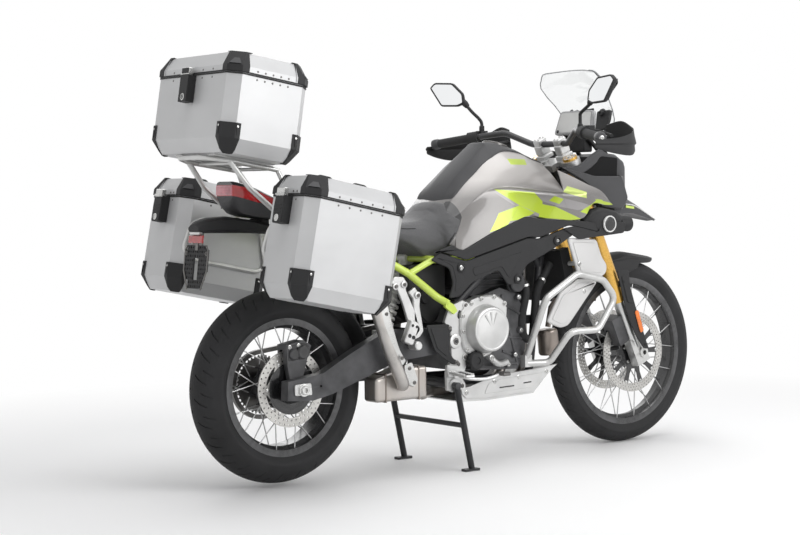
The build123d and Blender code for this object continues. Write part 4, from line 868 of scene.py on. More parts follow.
def dress_case(case, name, lid_body):
    """Everything that the photo shows on one case, in its place."""
    height = case["height"]
    seam(case, height - 5, height - 0.4, 1.8).piece(name + "_rim_seal", "rubber_black")
    seam(case, height + 1.0, height + 5.0, 1.8).piece(name + "_lid_seal", "rubber_black", body=lid_body)
    crowns(case).piece(name + "_crowns", "black_plastic", body=lid_body, bevel=0.8)
    crown_insets(case).piece(name + "_crown_insets", "grey_plastic", body=lid_body)
    relief, screws = foot_caps(case)
    relief.piece(name + "_cap_reliefs", "black_plastic")
    screws.piece(name + "_cap_screws", "steel_brushed", look="bright_screws")
    handle_loops(case).piece(name + "_lashing_eyes", "black_plastic", body=lid_body)
    rivets(case, height - 14).piece(name + "_rim_rivets", "steel_dark")
    rivets(case, height + 12).piece(name + "_lid_rivets", "steel_dark", body=lid_body)
    dark, bright = latch(case)
    dark.piece(name + "_latch_cover", "black_plastic")
    bright.piece(name + "_latch_lock", "steel_brushed", look="bright_screws")


dress_case(TOP_CASE, "top_case", "top_case_lid")
dress_case(RIGHT_CASE, "side_case_right", "side_case_lid_right")
dress_case(LEFT_CASE, "side_case_left", "side_case_lid_left")


# ---------------------------------------------------------------- bars, mirrors and guards

GUARD_ROWS = (      # x, y, top and low edge of the right handguard, from the bar's end round the grip
    (1014, -468, 1136, 1108), (1056, -476, 1139, 1096), (1118, -482, 1145, 1085), (1178, -472, 1158, 1082),
    (1224, -442, 1172, 1092), (1258, -392, 1187, 1098), (1268, -332, 1208, 1104), (1258, -268, 1196, 1114),
)
GUARD_RIDGE = 1126
MIRROR_AT = Vector((1088, -440, 1336))
MIRROR_TURN = math.radians(11.4)        # each head faces in towards the rider
MIRROR_OUTLINE = [(86, 28), (62, 48), (-26, 43), (-80, 0), (-87, -38), (-56, -49), (24, -46)]


def handguards():
    """Ridged shells round the grips, with a stay inside each, and the weights on the bar's ends."""
    tops = smooth([(x, y, top) for x, y, top, low in GUARD_ROWS], 5)
    lows = smooth([(x, y, low) for x, y, top, low in GUARD_ROWS], 5)
    rings = []
    for before, top, after, low in zip(tops[:1] + tops, tops, tops[1:] + tops[-1:], lows):
        along = after - before
        out = Vector((-along.y, along.x, 0)).normalized()
        out = -out if out.dot(top - Vector((1100, -380, top.z))) < 0 else out
        ridge = max(low.z + 12, min(GUARD_RIDGE, top.z - 8))
        row = ((0, top.z), (2.5, (top.z + ridge) / 2 + 3), (8, ridge + 2), (8, ridge - 2), (2.5, ridge - 8),
               (4, low.z + 7), (1, low.z), (-3.5, low.z + 2), (-1.5, ridge - 6), (3, ridge), (-3.5, top.z - 2))
        rings.append([Vector((top.x, top.y, 0)) + out * d + Vector((0, 0, z)) for d, z in row])
    shell = Shape().skin(rings)
    shell.tube([(1180, -300, 1150), (1215, -286, 1142), (1262, -276, 1150)], 8, 12)
    shell.mirror().piece("handguard_shells", "black_plastic", 40, "handguards", body="front_end")
    outward = (-0.39, -0.9, -0.14)
    ends = Shape().lathe((1056, -440, 1147), outward, ((0, 17), (8, 20), (22, 20.5), (30, 19), (33, 15)), 28)
    ends.mirror().piece("bar_ends", "grey_bar", body="front_end")
    screws = Shape().bolt((1043, -470, 1142), outward, 6.2, 5)
    screws.mirror().piece("bar_end_screws", "steel_brushed", body="front_end", look="bright_screws")


def mirror_place():
    """Places an outline on the right mirror's face, its depth forward."""
    outward = Vector((-math.sin(MIRROR_TURN), -math.cos(MIRROR_TURN), 0))
    forward = Vector((math.cos(MIRROR_TURN), -math.sin(MIRROR_TURN), 0))
    up = Vector((0.06, 0, 1)).normalized()
    forward = (forward - up * forward.dot(up)).normalized()
    return facing(MIRROR_AT, outward, up, forward)


def mirrors():
    """Mirrors on their stalks; the right one is turned a little lower, as in the photo."""
    outline = rounded(MIRROR_OUTLINE, 9, 3)
    whole = Shape(), Shape(), Shape()
    rows = ((3.0, 6.5), (0.4, 5.6), (0, 4.4), (0.4, 1.0), (3, 0), (13, 0.6), (22, 7), (29, 17), (32, 26))
    right = (1134, -264, 1180), (1134, -264, 1224), (1131, -272, 1238), (1124, -322, 1264)
    left = (1144, -296, 1192.5), (1144, -297, 1222), (1137, -306, 1240), (1122, -328, 1266)
    for side, lower, path in ((-1, (0, 22, -22), right), (1, (0, 0, 0), left)):
        place = Matrix.Translation(lower) @ mirror_place()
        shell, glass, stalk = Shape(), Shape(), Shape()
        shell.skin([[place @ Vector((p[0], p[1], depth)) for p in (inset(outline, cut) if cut else outline)]
                    for depth, cut in rows])
        glass.slab([(p.x, p.y) for p in inset(outline, 6.2)], place @ moved_by(0, 0, 1.6), 2.0, 0.5)
        corner = place @ Vector((-80, -34, 14))
        stalk.tube(smooth([*path, corner], 6), 6.2, 14)
        stalk.lathe(path[0], (0, 0, 1), ((0, 10), (16, 10), (18, 8.5), (20, 6.5)), 18)
        way = (corner - Vector(path[-1])).normalized()
        stalk.lathe(corner - way * 24, way, ((0, 7.4), (4, 10), (18, 12.5), (34, 11), (40, 6)), 20)
        for into, made in zip(whole, (shell, glass, stalk)):
            into.add(made.points, made.faces, Matrix.Diagonal((1, -side, 1, 1)))
    whole[0].piece("mirror_shells", "black_plastic", 40, "mirrors", body="front_end")
    whole[1].piece("mirror_glasses", "steel_brushed", 40, body="front_end", look="mirror_glass")
    whole[2].piece("mirror_stalks", "black_plastic", 40, body="front_end")


def risers():
    """Machined bar clamps: caps, screws and a notch in each riser."""
    block, screws = Shape(), Shape()
    for y in (-54, 54):
        here = facing(on_fork(858, y, 22), AHEAD, LEFT, UP)
        block.box((-19, -16, 3), (19, 16, 21), 3, here)
        block.box((-23, -18, -36), (23, 18, -1.5), 3, here)
        block.box((-27, -21, -56), (27, 21, -40), 2.5, here)
        for dx in (-13, 13):
            for dy in (-9, 9):
                screws.bolt(here @ Vector((dx, dy, 20.5)), UP, 3.0, 4)
    for y in (-FORK_Y, FORK_Y):
        cap = (0, 24), (7, 24), (9, 22), (9, 15), (6, 14), (6, 9), (11, 8), (11, 1)
        screws.lathe(on_fork(803.5, y), UP, cap, 24)
    block.piece("bar_risers", "cast_alloy", 30, body="front_end")
    screws.piece("bar_riser_screws", "steel_brushed", 30, body="front_end", look="bright_screws")


handguards()
mirrors()
risers()


# ---------------------------------------------------------------- nose, dash and screen

NOSE_ROWS = (       # x, half-width, low z, top z
    (1400, 114, 1004, 1086), (1436, 110, 985, 1098), (1470, 106, 930, 1095),
    (1506, 97, 900, 1078), (1534, 74, 916, 1064), (1546, 58, 938, 1050),
)
BEAK_ROWS = (       # x, half-width, ridge z, edge z, low z
    (1432, 124, 912, 894, 872), (1500, 112, 936, 908, 874),
    (1560, 94, 936, 902, 872), (1630, 68, 908, 882, 860), (1700, 42, 876, 858, 846),
    (1740, 24, 856, 846, 838), (1753, 12, 849, 844, 840),
)
SCREEN_ROWS = (     # x of the edge, half-width, z
    (1316, 120, 1402), (1318, 138, 1400), (1323, 150, 1392), (1334, 171, 1366),
    (1341, 176, 1350), (1362, 163, 1315), (1388, 151, 1285), (1410, 143, 1255),
    (1432, 129, 1224), (1446, 108, 1184), (1452, 88, 1146),
)


SHOULDER = ((1116, 1050), (1240, 998), (1308, 956), (1340, 904), (1436, 888),
            (1470, 930), (1440, 1012), (1300, 1014), (1250, 1026))
SHROUD = ((1190, 1026), (1300, 960), (1420, 930), (1430, 1080), (1350, 1086), (1296, 1052), (1240, 1030))
ARM_ROWS = (        # x, y, middle z and half height of the arm from shoulder to headlight
    (1150, 152, 1038, 9), (1238, 151, 1036, 18), (1294, 146, 1066, 22),
    (1350, 136, 1094, 19), (1404, 112, 1084, 15), (1440, 100, 1080, 12),
)


def cowl():
    """Headlight shell closed on top, the fairing's shoulders and arms, and the beak with its edge strip."""
    shell, inner, strip, lime = Shape(), Shape(), Shape(), Shape()
    rings = []
    for x, w, low, top in NOSE_ROWS:
        arch = [(-w, low), (-w, top - 14), (-w + 22, top), (w - 22, top), (w, top - 14), (w, low)]
        rings.append([(x, y, z) for y, z in rounded(arch, 9, 3)])
    shell.skin(rings)
    for side in (-1, 1):
        side_slab(shell, SHOULDER, side, 146, 160, 10, 4)
        arm, corner = [], []
        for x, y, z, high in ARM_ROWS:
            section = ((y, z - high), (y + 5, z - high + 5), (y + 5, z + high - 5),
                       (y, z + high), (y - 9, z + high), (y - 9, z - high))
            arm.append([(x, side * out, up) for out, up in section])
        for x, y in ((1430, 160), (1468, 126), (1502, 100)):
            section = (y, 890), (y, 1012), (y - 10, 1016), (y - 10, 890)
            corner.append([(x, side * out, up) for out, up in section])
        shell.skin(arm)
        side_slab(inner, SHROUD, side, 139.5, 145, 8, 1.5)
        shell.skin(corner)
    rings = []
    for x, w, ridge, edge, low in BEAK_ROWS:
        rings.append([(x, -w, edge), (x, -w * 0.5, ridge - 6), (x, 0, ridge), (x, w * 0.5, ridge - 6),
                      (x, w, edge), (x, w - 4, low), (x, 0, low + 6), (x, 4 - w, low)])
    beak = Shape().skin(rings)
    for side in (-1, 1):
        edge = smooth([(x, side * (w + 0.6), e - 1) for x, w, _, e, _ in BEAK_ROWS[1:]], 5)
        strip.tube(edge, [2.4 - 0.04 * k for k in range(len(edge))], 8)
        lime.skin([[(x, side * (w + d), e - drop) for d, drop in ((0.4, 14), (1.6, 14), (1.6, 5), (0.4, 5))]
                   for x, w, _, e, _ in BEAK_ROWS[1:3]])
    shell.piece("nose_shell", "grey_plastic", 36, "front_cowl")
    # the shrouds take the near-black painted-shade finish, for the shade in the gap between the wing and the
    # pod
    inner.piece("fork_shrouds", "black_plastic", look="painted_shade_black")
    beak.piece("beak", "grey_plastic", 40)
    strip.piece("beak_edges", "silver_paint", look="pale_silver")
    lime.piece("beak_flashes", "lime_paint")


def headlight():
    """A dark face with two round lamps behind domed glass, a light strip down each side, and clips."""
    rim, lamp, glass = Shape(), Shape(), Shape()
    ahead = facing((1542, 0, 0), LEFT, (0, 0, 1), FRONT)
    face = rounded([(-52, 950), (-46, 1036), (46, 1036), (52, 950), (24, 938), (-24, 938)], 9, 4)
    rim.slab(face, ahead, 8, 2.5)
    for z, r in ((972, 21), (1014, 16)):
        bezel = ((0, r + 3), (4, r + 3), (5, r + 2), (5, r), (1.5, r - 1))
        dome = ((0, r - 0.4), (3, r - 0.4), (5, r * 0.7), (6, r * 0.35), (6.3, 1))
        lamp.lathe((1548, 0, z), FRONT, bezel, 36)
        glass.lathe((1548, 0, z), FRONT, dome, 36)
    for side in (-1, 1):
        strip = rounded([(side * 34, 956), (side * 43, 954), (side * 38, 1029), (side * 30, 1027)], 3, 3)
        glass.slab(strip, ahead @ moved_by(0, 0, 7), 2.6, 0.9)
        rim.tube([(1436, side * 111, 1016), (1438, side * 111, 1072)], 1.6, 8)
    glass.piece("headlight_glass", "lamp_glass", 40, "lamps")
    rim.piece("headlight_rim", "gloss_black", 30)
    lamp.piece("headlight_lamps", "steel_brushed", 30)


def dash():
    """Leaning instrument with its grey face, the stays under it, and the socket bracket on the right."""
    body, dark, face = Shape(), Shape(), Shape()
    up = Vector((23, 0, 88)).normalized()
    out = -Vector(LEFT).cross(up)
    place = facing((1336, 0, 1171), LEFT, up, out)
    back = rounded([(-104, 0), (104, 0), (90, 92), (-90, 92)], 14, 4)
    body.slab(back, place @ moved_by(0, 0, -22), 22, 4)
    front = rounded([(-92, 8), (92, 8), (81, 84), (-81, 84)], 9, 4)
    face.slab(front, place @ moved_by(0, 0, -0.4), 1.6, 0.6)
    for k in (-1, 1):
        dark.lathe(place @ Vector((82 * k, 12, -0.5)), out, ((0, 6), (3, 6), (4, 4.6), (4, 0.5)), 18)
        dark.tube(smooth([(1342, 52 * k, 1180), (1392, 56 * k, 1130), (1430, 60 * k, 1092)], 4), 8, 12)
        dark.tube([place @ Vector((40 * k, 92, -10)), (1392, 60 * k, 1262)], 5, 10)
    dark.box((1350, -46, 1104), (1398, 46, 1178), 5)
    side = place @ moved_by(-148, 0, -14)
    dark.slab(rounded([(-26, 16), (28, 8), (36, 84), (-34, 88), (-36, 50)], 7, 3), side, 14, 2)
    dark.lathe(side @ Vector((6, 74, 13)), out, ((0, 11), (10, 11), (12, 9), (12, 6), (9, 5), (9, 0.5)), 24)
    dark.tube([side @ Vector((10, 20, 4)), (1380, -120, 1120), (1412, -104, 1090)], 7, 10)
    body.piece("instrument", "grey_plastic", 36, "dash", look="dash_grey")
    dark.piece("instrument_trim", "black_plastic", 36)
    face.piece("instrument_display", "grey_plastic", look="silver_tube")


def screen():
    """Clear screen curved across, with its rim and four rubber-backed screws."""
    sheet, rim, screws = Shape(), Shape(), Shape()
    columns = [k / 8 - 1 for k in range(17)]

    def at(row, share, back=0.0):
        x, w, z = row
        bow = 1 - share * share
        return Vector((x + 26 * bow - back, w * share, z + 6 * bow * (z > 1340)))

    rings = [[at(row, share) for share in columns] + [at(row, share, 3.5) for share in reversed(columns)]
             for row in SCREEN_ROWS]
    sheet.skin(rings)
    for side in (-1, 1):
        rim.tube([at(row, side) + Vector((-1.7, 0, 0)) for row in SCREEN_ROWS], 2.2, 8)
        for row in (SCREEN_ROWS[7], SCREEN_ROWS[9]):
            screws.lathe(at(row, side * 0.5, 6), (1, 0, 0.3), ((-4, 9), (10, 9), (12, 6), (12, 1)), 20)
            screws.tube([at(row, side * 0.5, 8), (1418, side * 54, 1104)], 4, 8)
    rim.tube([at(SCREEN_ROWS[0], share) + Vector((-1.7, 0, 0)) for share in columns], 2.0, 8)
    sheet.piece("screen_sheet", "screen_clear", 60, "windscreen")
    rim.piece("screen_rim", "screen_clear", 60, look="screen_edge")
    screws.piece("screen_mounts", "black_plastic")


cowl()
headlight()
dash()
screen()


# ---------------------------------------------------------------- tank, covers and side panels

# x, then (half-width, z) down the flank: the cover's edge, shoulder, crease, under it, waist, low edge
FLANK_ROWS = (
    (640, (92, 905), (112, 894), (128, 876), (134, 866), (149, 820), (160, 768)),
    (670, (100, 934), (121, 917), (139, 890), (144, 880), (161, 825), (172, 766)),
    (720, (101, 982), (128, 961), (149, 930), (154, 918), (174, 856), (184, 793)),
    (776, (101, 1027), (132, 1003), (158, 966), (162, 952), (182, 885), (195, 821)),
    (818, (100, 1060), (136, 1028), (170, 980), (168, 966), (184, 900), (201, 838)),
    (870, (93, 1087), (138, 1046), (180, 984), (174, 970), (190, 912), (208, 858)),
    (928, (80, 1106), (136, 1056), (186, 980), (178, 966), (196, 918), (214, 876)),
    (1003, (78, 1100), (138, 1046), (192, 972), (184, 958), (204, 912), (226, 867)),
    (1060, (76, 1080), (138, 1030), (194, 966), (187, 952), (210, 908), (230, 862)),
    (1112, (74, 1064), (136, 1020), (195, 962), (190, 948), (213, 902), (232, 857)),
)
WING_ROWS = (       # the same, for the fairing's silver side ahead of the tank
    (1112.5, (168, 1036), (184, 1000), (195, 962), (190, 948), (213, 902), (232, 857)),
    (1180, (176, 1010), (188, 985), (198, 958), (197, 944), (214, 905), (230, 866)),
    (1232, (186, 986), (192, 970), (200, 954), (203, 946), (212, 932), (222, 914)),
    (1300, (194, 958), (198, 949), (203, 940), (206, 932), (211, 922), (217, 908)),
    (1334, (206, 914), (208, 913), (210, 912), (212, 911), (214, 910), (216, 908)),
)
COVER_ROWS = (      # x, z of the middle, (half-width, z) of the edge
    (641, 899, 90, 880), (655, 915, 95, 903), (664, 924, 98, 921), (669, 918, 97, 917),
    (673, 932, 99, 931), (687, 961, 101, 957), (713, 997, 102, 979), (750, 1034, 102, 1007),
    (809, 1083, 101, 1055), (862, 1126, 95, 1084), (882, 1139, 91, 1092), (935, 1136, 80, 1109),
    (1000, 1119, 79, 1103), (1040, 1104, 79, 1087), (1112, 1076, 75, 1066),
)


def across(right):
    """A ring from its right half, which starts on the middle plane."""
    return right + [Vector((p.x, -p.y, p.z)) for p in reversed(right[1:])]


def flank_lines(rows, fine=5):
    """Smooth rows of points down the right flank, one for each step along x."""
    columns = [smooth([(row[0], -row[k][0], row[k][1]) for row in rows], fine) for k in range(1, 7)]
    return [smooth(points, 4) for points in zip(*columns)]


def tank():
    """The tank between its shoulders, and the silver sides of the fairing ahead of it."""
    rings = []
    for line in flank_lines(FLANK_ROWS):
        low, x = line[-1], line[0].x
        roof = Vector((x, 0, line[0].z - 4))
        inside = -min(153, -low.y - 30)         # how far the skin turns in under the tank
        lip = [low + Vector((0, 10, -3)), Vector((x, inside, low.z + 2)), Vector((x, inside, low.z + 40))]
        rings.append(across([roof] + line + lip))
    Shape().skin(rings).piece("tank_skin", "silver_paint", 60, "fuel_tank")
    wing = Shape()
    wing.skin([line + [p + Vector((0, 5, 0)) for p in reversed(line)] for line in flank_lines(WING_ROWS)])
    ear = rounded([(613, 784), (634, 769), (644, 767), (644, 828)], 6, 3)
    wing.slab(ear, at_side(-163), 8, 2)
    wing.mirror().piece("fairing_sides", "silver_paint", 60)


def tank_top():
    """The dark cover over the tank, with its seam behind the filler cap and the cap's ring."""
    middles = smooth([(x, 0, z) for x, z, w, edge in COVER_ROWS], 4)
    edges = smooth([(x, -w, edge) for x, z, w, edge in COVER_ROWS], 4)
    rings = []
    for middle, edge in zip(middles, edges):
        w, high, low = -edge.y, middle.z, edge.z
        crease, drop = 0.52 * w, high - low
        right = ((0, high), (crease - 8, high - 0.5), (crease, high - 0.06 * drop - 1),
                 (crease + 8, high - 0.2 * drop - 1), (w - 4, low + 0.1 * drop + 1), (w, low),
                 (w + 1.5, low - 7), (w - 8, low - 11), (0.5 * w, low - 11))
        rings.append(across([Vector((middle.x, -y, z)) for y, z in right]))
    Shape().skin(rings).piece("tank_top_cover", "grey_plastic", 38, "tank_cover")
    cap = Shape()
    at, way = Vector((958, 0, 1129)), Vector((0.3, 0, 1)).normalized()
    rows = (-6, 47), (3, 47), (5, 45), (5, 40), (3.5, 39), (3.5, 12), (6, 11), (7, 9), (7, 1)
    cap.lathe(at, way, rows, 40)
    for k in range(6):
        a = math.pi * k / 3
        foot = Vector((43 * math.cos(a), 43 * math.sin(a), -12.5 * math.cos(a)))
        cap.bolt(at + foot + way * 4, way, 2.4, 2.5)
    cap.piece("filler_cap", "steel_dark")


def leaning(base, slope, at_x):
    """Places a slab on a plane beside the bike that turns outward with x; depth goes outward to the right."""
    start = base - slope * at_x
    return Matrix(((1, 0, 0, 0), (-slope, 0, -1, -start), (0, 1, 0, 0), (0, 0, 0, 1)))


STRIP_LINE = ((536, 757), (612, 784), (636, 769), (662, 765), (776, 820), (910, 873),
              (968, 867), (1180, 851), (1236, 842), (1226, 812), (1120, 836),
              (1098, 838), (972, 799), (926, 803), (668, 730), (560, 764))
PANEL_LINE = ((526, 733), (560, 760), (668, 726), (926, 799), (972, 795), (1100, 834),
              (1124, 806), (1040, 760), (920, 705), (880, 640), (840, 636),
              (800, 690), (690, 650), (640, 605), (596, 600), (614, 650), (600, 704))
SPUR_LINE = (1072, 828), (1120, 836), (1226, 812), (1236, 840), (1348, 846), (1340, 806), (1140, 788)
PANEL_RIDGES = (((690, 700), (900, 752), (880, 716), (842, 660), (812, 704), (700, 672)),
                ((548, 742), (660, 712), (652, 640), (618, 620), (626, 660), (612, 712)))


def side_covers():
    """Dark strip under the tank, the panel below it with its raised fields, and the spur out to the pod."""
    strip, panel, trims, screws = Shape(), Shape(), Shape(), Shape()
    lay = leaning(176, 0.113, 640)
    strip.slab(rounded(STRIP_LINE, 9, 3), lay, 10, 2.5)
    panel.slab(rounded(PANEL_LINE, 12, 3), lay, 7, 2.5)
    panel.slab(rounded(SPUR_LINE, 8, 3), leaning(182, 0.113, 640), 8, 2)
    for outline, high, edge in zip(PANEL_RIDGES, (3, 2.5), (1.5, 1.2)):
        trims.slab(rounded(outline, 12, 3), lay @ moved_by(0, 0, 6), high, edge)
    for x, z, r in ((646, 704, 9), (1050, 786, 6), (880, 656, 6)):
        out = lay @ Vector((x, z, 7))
        trims.lathe(out, RIGHT, ((-2, 17), (3, 17), (6, 13), (6, 10), (2, 9), (2, 1)), 28)
        screws.bolt(out + Vector((0, -1.5, 0)), RIGHT, r * 0.7, 5)
    strip.mirror().piece("side_cover_strips", "black_plastic", 30, "side_panels")
    panel.mirror().piece("side_cover_panels", "black_plastic", 30)
    trims.mirror().piece("side_cover_trims", "black_plastic", 30)
    screws.mirror().piece("side_cover_screws", "steel_brushed", 30, look="bright_screws")


def pods():
    """Indicator pods ahead of the side covers, each with a bare round badge ring and a fog lamp."""
    pod, ring, disc, lamp, glass = Shape(), Shape(), Shape(), Shape(), Shape()
    rows = ((1182, 206, 232, 838, 862, 6), (1222, 200, 254, 812, 896, 14), (1262, 196, 262, 800, 904, 20),
            (1312, 192, 260, 802, 896, 20), (1346, 190, 250, 812, 884, 16), (1356, 196, 240, 822, 872, 10))
    pod.skin([[(x, -p.x, p.y) for p in rounded([(y0, z0), (y1, z0 + 6), (y1, z1 - 10), (y0, z1)], r, 3)]
              for x, y0, y1, z0, z1, r in rows])
    badge = (1272, -265.5, 840)
    ring.lathe(badge, RIGHT, ((-4, 30), (2.2, 30), (3.4, 28.5), (3.4, 26.5), (2.0, 25.5), (-4, 25.4)), 44)
    disc.lathe(badge, RIGHT, ((-4, 25.4), (0.6, 25.2), (1.4, 22), (1.4, 11), (2.2, 10), (2.2, 1)), 44)
    shell = ((0, 25), (12, 27), (44, 29), (50, 28), (50, 24.5), (47, 23.5), (40, 1))
    lamp.lathe((1352.5, -224, 838), FRONT, shell, 36)
    glass.lathe((1394, -224, 838), FRONT, ((0, 23.6), (5, 23.6), (7, 18), (8, 9), (8.4, 1)), 36)
    pod.mirror().piece("indicator_pods", "black_plastic", 45)
    disc.mirror().piece("pod_badge_discs", "gloss_black", 30)
    ring.mirror().piece("pod_badge_rings", "steel_brushed", 30, look="badge_white")
    lamp.mirror().piece("fog_lamp_shells", "black_plastic", 45)
    glass.mirror().piece("fog_lamp_glasses", "lamp_glass", 45)


tank()
tank_top()
side_covers()
pods()


# ---------------------------------------------------------------- front mudguard


def fender():
    """Front mudguard: a shell over the tyre with a flat nose, and side leaves down to the fork guards."""
    rows = (        # x and z of the ridge, half-width and z of the edge
        (1322, 624, 50, 608), (1364, 668, 60, 646), (1424, 696, 64, 668), (1496, 716, 66, 680),
        (1560, 726, 66, 690), (1630, 718, 60, 684), (1690, 708, 44, 684), (1724, 702, 22, 690),
    )
    ridge = smooth([(x, z, 0) for x, z, w, edge in rows], 4)
    edge = smooth([(x, low, w) for x, z, w, low in rows], 4)
    rings = []
    for top, side in zip(ridge, edge):
        high, low, w = top.y, side.y, side.z
        bend = low + (high - low) * 0.55
        outer = [(-w, low), (-w * 0.97, bend), (-w * 0.62, high - 4), (0, high), (w * 0.62, high - 4),
                 (w * 0.97, bend), (w, low)]
        inner = [(y * 0.94, z - 3.5) for y, z in reversed(outer)]
        rings.append([(top.x, y, z) for y, z in outer + inner])
    shape = Shape().skin(rings)
    leaf = rounded([(1424, 664), (1474, 690), (1560, 700), (1620, 690), (1596, 662),
                    (1530, 640), (1512, 616), (1512, 534), (1476, 544), (1440, 600)], 8, 3)
    leaves = Shape().slab(leaf, at_side(-72), 6, 1.5).bolts(((1500, 640), (1488, 600)), 72, 4, 3).mirror()
    shape.join(leaves).piece("front_fender_shell", "black_plastic", 40, "front_fender", body="front_end")


def fork_guards():
    """Long shields ahead of the sliders, each with an amber reflector."""
    guard, amber = Shape(), Shape()
    outline = rounded([(1421, 664), (1455, 545), (1470, 502), (1512, 418), (1556, 364),
                       (1584, 360), (1572, 384), (1513, 530), (1486, 606), (1482, 660)], 10, 3)
    guard.slab(outline, at_side(-146), 5, 1.6)
    pad = rounded([(1440, 640), (1472, 540), (1500, 536), (1478, 600), (1470, 645)], 8, 3)
    guard.slab(pad, at_side(-149), 4, 1.5)
    guard.bolts(((1452, 620), (1562, 378)), 146, 4, 3)
    guard.box((1440, -142, 600), (1474, -124, 622), 2)
    guard.box((1520, -142, 440), (1552, -112, 462), 2)
    amber.slab(rounded([(1506, 506), (1524, 512), (1553, 430), (1535, 423)], 9, 4), at_side(-151), 5.5, 2)
    guard.mirror().piece("fork_guards", "black_plastic", 40, body="front_end")
    amber.mirror().piece("fork_reflectors", "red_lens", 40, body="front_end", look="amber_lens")


fender()
fork_guards()


# ---------------------------------------------------------------- seats

RIDER_ROWS = (      # x, half-width, top, underside
    (510, 130, 864, 770), (460, 138, 864, 794), (400, 142, 871, 812),
    (350, 138, 889, 825), (329, 133, 896, 830),
)
NOSE_SECTIONS = (   # x, then (y, z) from the ridge round to the underside, over the tank's rear
    (681, ((0, 915), (40, 914), (76, 909), (104, 902), (124, 892),
           (138, 882), (144, 876), (146, 872), (142, 866))),
    (672, ((0, 928), (40, 927), (78, 922), (108, 912), (130, 894),
           (146, 878), (153, 868), (155, 860), (150, 850))),
    (658, ((0, 932), (40, 931), (76, 926), (104, 916), (126, 898),
           (144, 876), (155, 854), (161, 836), (158, 820))),
    (640, ((0, 929), (40, 928), (74, 922), (98, 911), (120, 894),
           (138, 872), (150, 848), (159, 820), (158, 794))),
    (620, ((0, 912), (40, 911), (74, 905), (98, 892), (120, 872),
           (136, 848), (147, 822), (154, 796), (149, 770))),
    (600, ((0, 893), (40, 892), (76, 886), (100, 874), (118, 856),
           (131, 833), (139, 808), (142, 780), (136, 757))),
    (560, ((0, 872), (38, 871), (76, 866), (100, 856), (117, 840),
           (127, 820), (131, 795), (129, 765), (122, 740))),
)
PILLION_ROWS = (
    (322, 124, 924, 832), (262, 127, 935, 840), (200, 128, 941, 853),
    (130, 123, 948, 866), (60, 116, 953, 882), (0, 102, 957, 894), (-27, 90, 956, 902),
)
SWELL_STEPS, SWELL_PRESSURE = 20, 4
PAD_GRID = 0.006                        # metres between the pad's points before it is swollen
HELD_BASE = 0.004                       # metres above the lowest point that stay where they are


def seat_section(x, w, top, low):
    """A dished pad's outline at x, from the ridge round to the underside."""
    return x, ((0, top), (0.3 * w, top - 1), (0.6 * w, top - 4), (0.8 * w, top - 11), (0.93 * w, top - 24),
               (0.99 * w, top - 40), (w, (top + low) / 2 - 6), (0.97 * w, low + 6), (0.93 * w, low))


def cushion(name, node, sections, cap):
    """Foam pad: swollen by a short cloth simulation, with no point moved by more than cap millimetres."""
    columns = [smooth([(x, -points[k][0], points[k][1]) for x, points in sections], 5) for k in range(9)]
    shape = Shape().skin([across(list(right)) for right in zip(*columns)])
    mesh = bpy.data.meshes.new(name)
    mesh.from_pydata([((p.x - ORIGIN_X) * MM, p.y * MM, p.z * MM) for p in shape.points], [], shape.faces)
    rough = bpy.data.objects.new(name + "_rough", mesh)
    bpy.context.scene.collection.objects.link(rough)
    even = rough.modifiers.new("even", "REMESH")
    even.mode = "VOXEL"
    even.voxel_size = PAD_GRID
    skin = bpy.data.meshes.new_from_object(rough.evaluated_get(bpy.context.evaluated_depsgraph_get()))
    bpy.data.objects.remove(rough)
    pad = bpy.data.objects.new(name, skin)
    bpy.context.scene.collection.objects.link(pad)
    start = [v.co.copy() for v in skin.vertices]
    held = pad.vertex_groups.new(name="base")
    floor_z = min(v.z for v in start) + HELD_BASE
    held.add([i for i, v in enumerate(start) if v.z < floor_z], 1.0, "REPLACE")
    cloth = pad.modifiers.new("swell", "CLOTH").settings
    cloth.use_pressure = True
    cloth.uniform_pressure_force = SWELL_PRESSURE
    cloth.effector_weights.gravity = 0
    cloth.vertex_group_mass = "base"
    for step in range(1, SWELL_STEPS + 1):
        bpy.context.scene.frame_set(step)
    swollen = pad.evaluated_get(bpy.context.evaluated_depsgraph_get()).to_mesh()
    ends = [v.co.copy() for v in swollen.vertices]
    pad.modifiers.clear()
    for v, a, b in zip(skin.vertices, start, ends):
        move = b - a
        v.co = a + (move.normalized() * min(move.length, cap * MM) if move.length > 1e-9 else move)
    bpy.context.scene.frame_set(1)
    skin.polygons.foreach_set("use_smooth", [True] * len(skin.polygons))
    finer = pad.modifiers.new("finer", "SUBSURF")
    finer.levels = finer.render_levels = 1
    finished(pad, "chassis", FINISHES["seat_vinyl"], node)
    return pad


def piping(name, pad, rows, share, drop):
    """Welted seams laid on the finished pad, found by dropping points on to its skin."""
    faces = [list(p.vertices) for p in pad.data.polygons]
    tree = BVHTree.FromPolygons([v.co for v in pad.data.vertices], faces)
    shape = Shape()
    line = smooth([(row[0], row[1] * share, row[2] - drop) for row in rows], 5)[1:-1]
    for side in (-1, 1):
        run = []
        for p in line:
            at = Vector(((p.x - ORIGIN_X) * MM, side * p.y * MM, p.z * MM))
            spot, normal, _, _ = tree.find_nearest(at)
            spot = spot + normal * 0.0006
            run.append((spot.x / MM + ORIGIN_X, spot.y / MM, spot.z / MM))
        shape.tube(run, 1.7, 8)
    shape.piece(name, "rubber_black", 60)


rider_sections = NOSE_SECTIONS + tuple(seat_section(*row) for row in RIDER_ROWS)
rider_pad = cushion("rider_seat_pad", "seat_rider", rider_sections, 5)
pillion_pad = cushion("pillion_seat_pad", "seat_pillion", [seat_section(*row) for row in PILLION_ROWS], 6)
piping("rider_seat_piping", rider_pad, RIDER_ROWS, 0.9, 18)
piping("pillion_seat_piping", pillion_pad, PILLION_ROWS, 0.9, 18)


# ---------------------------------------------------------------- engine and frame sides

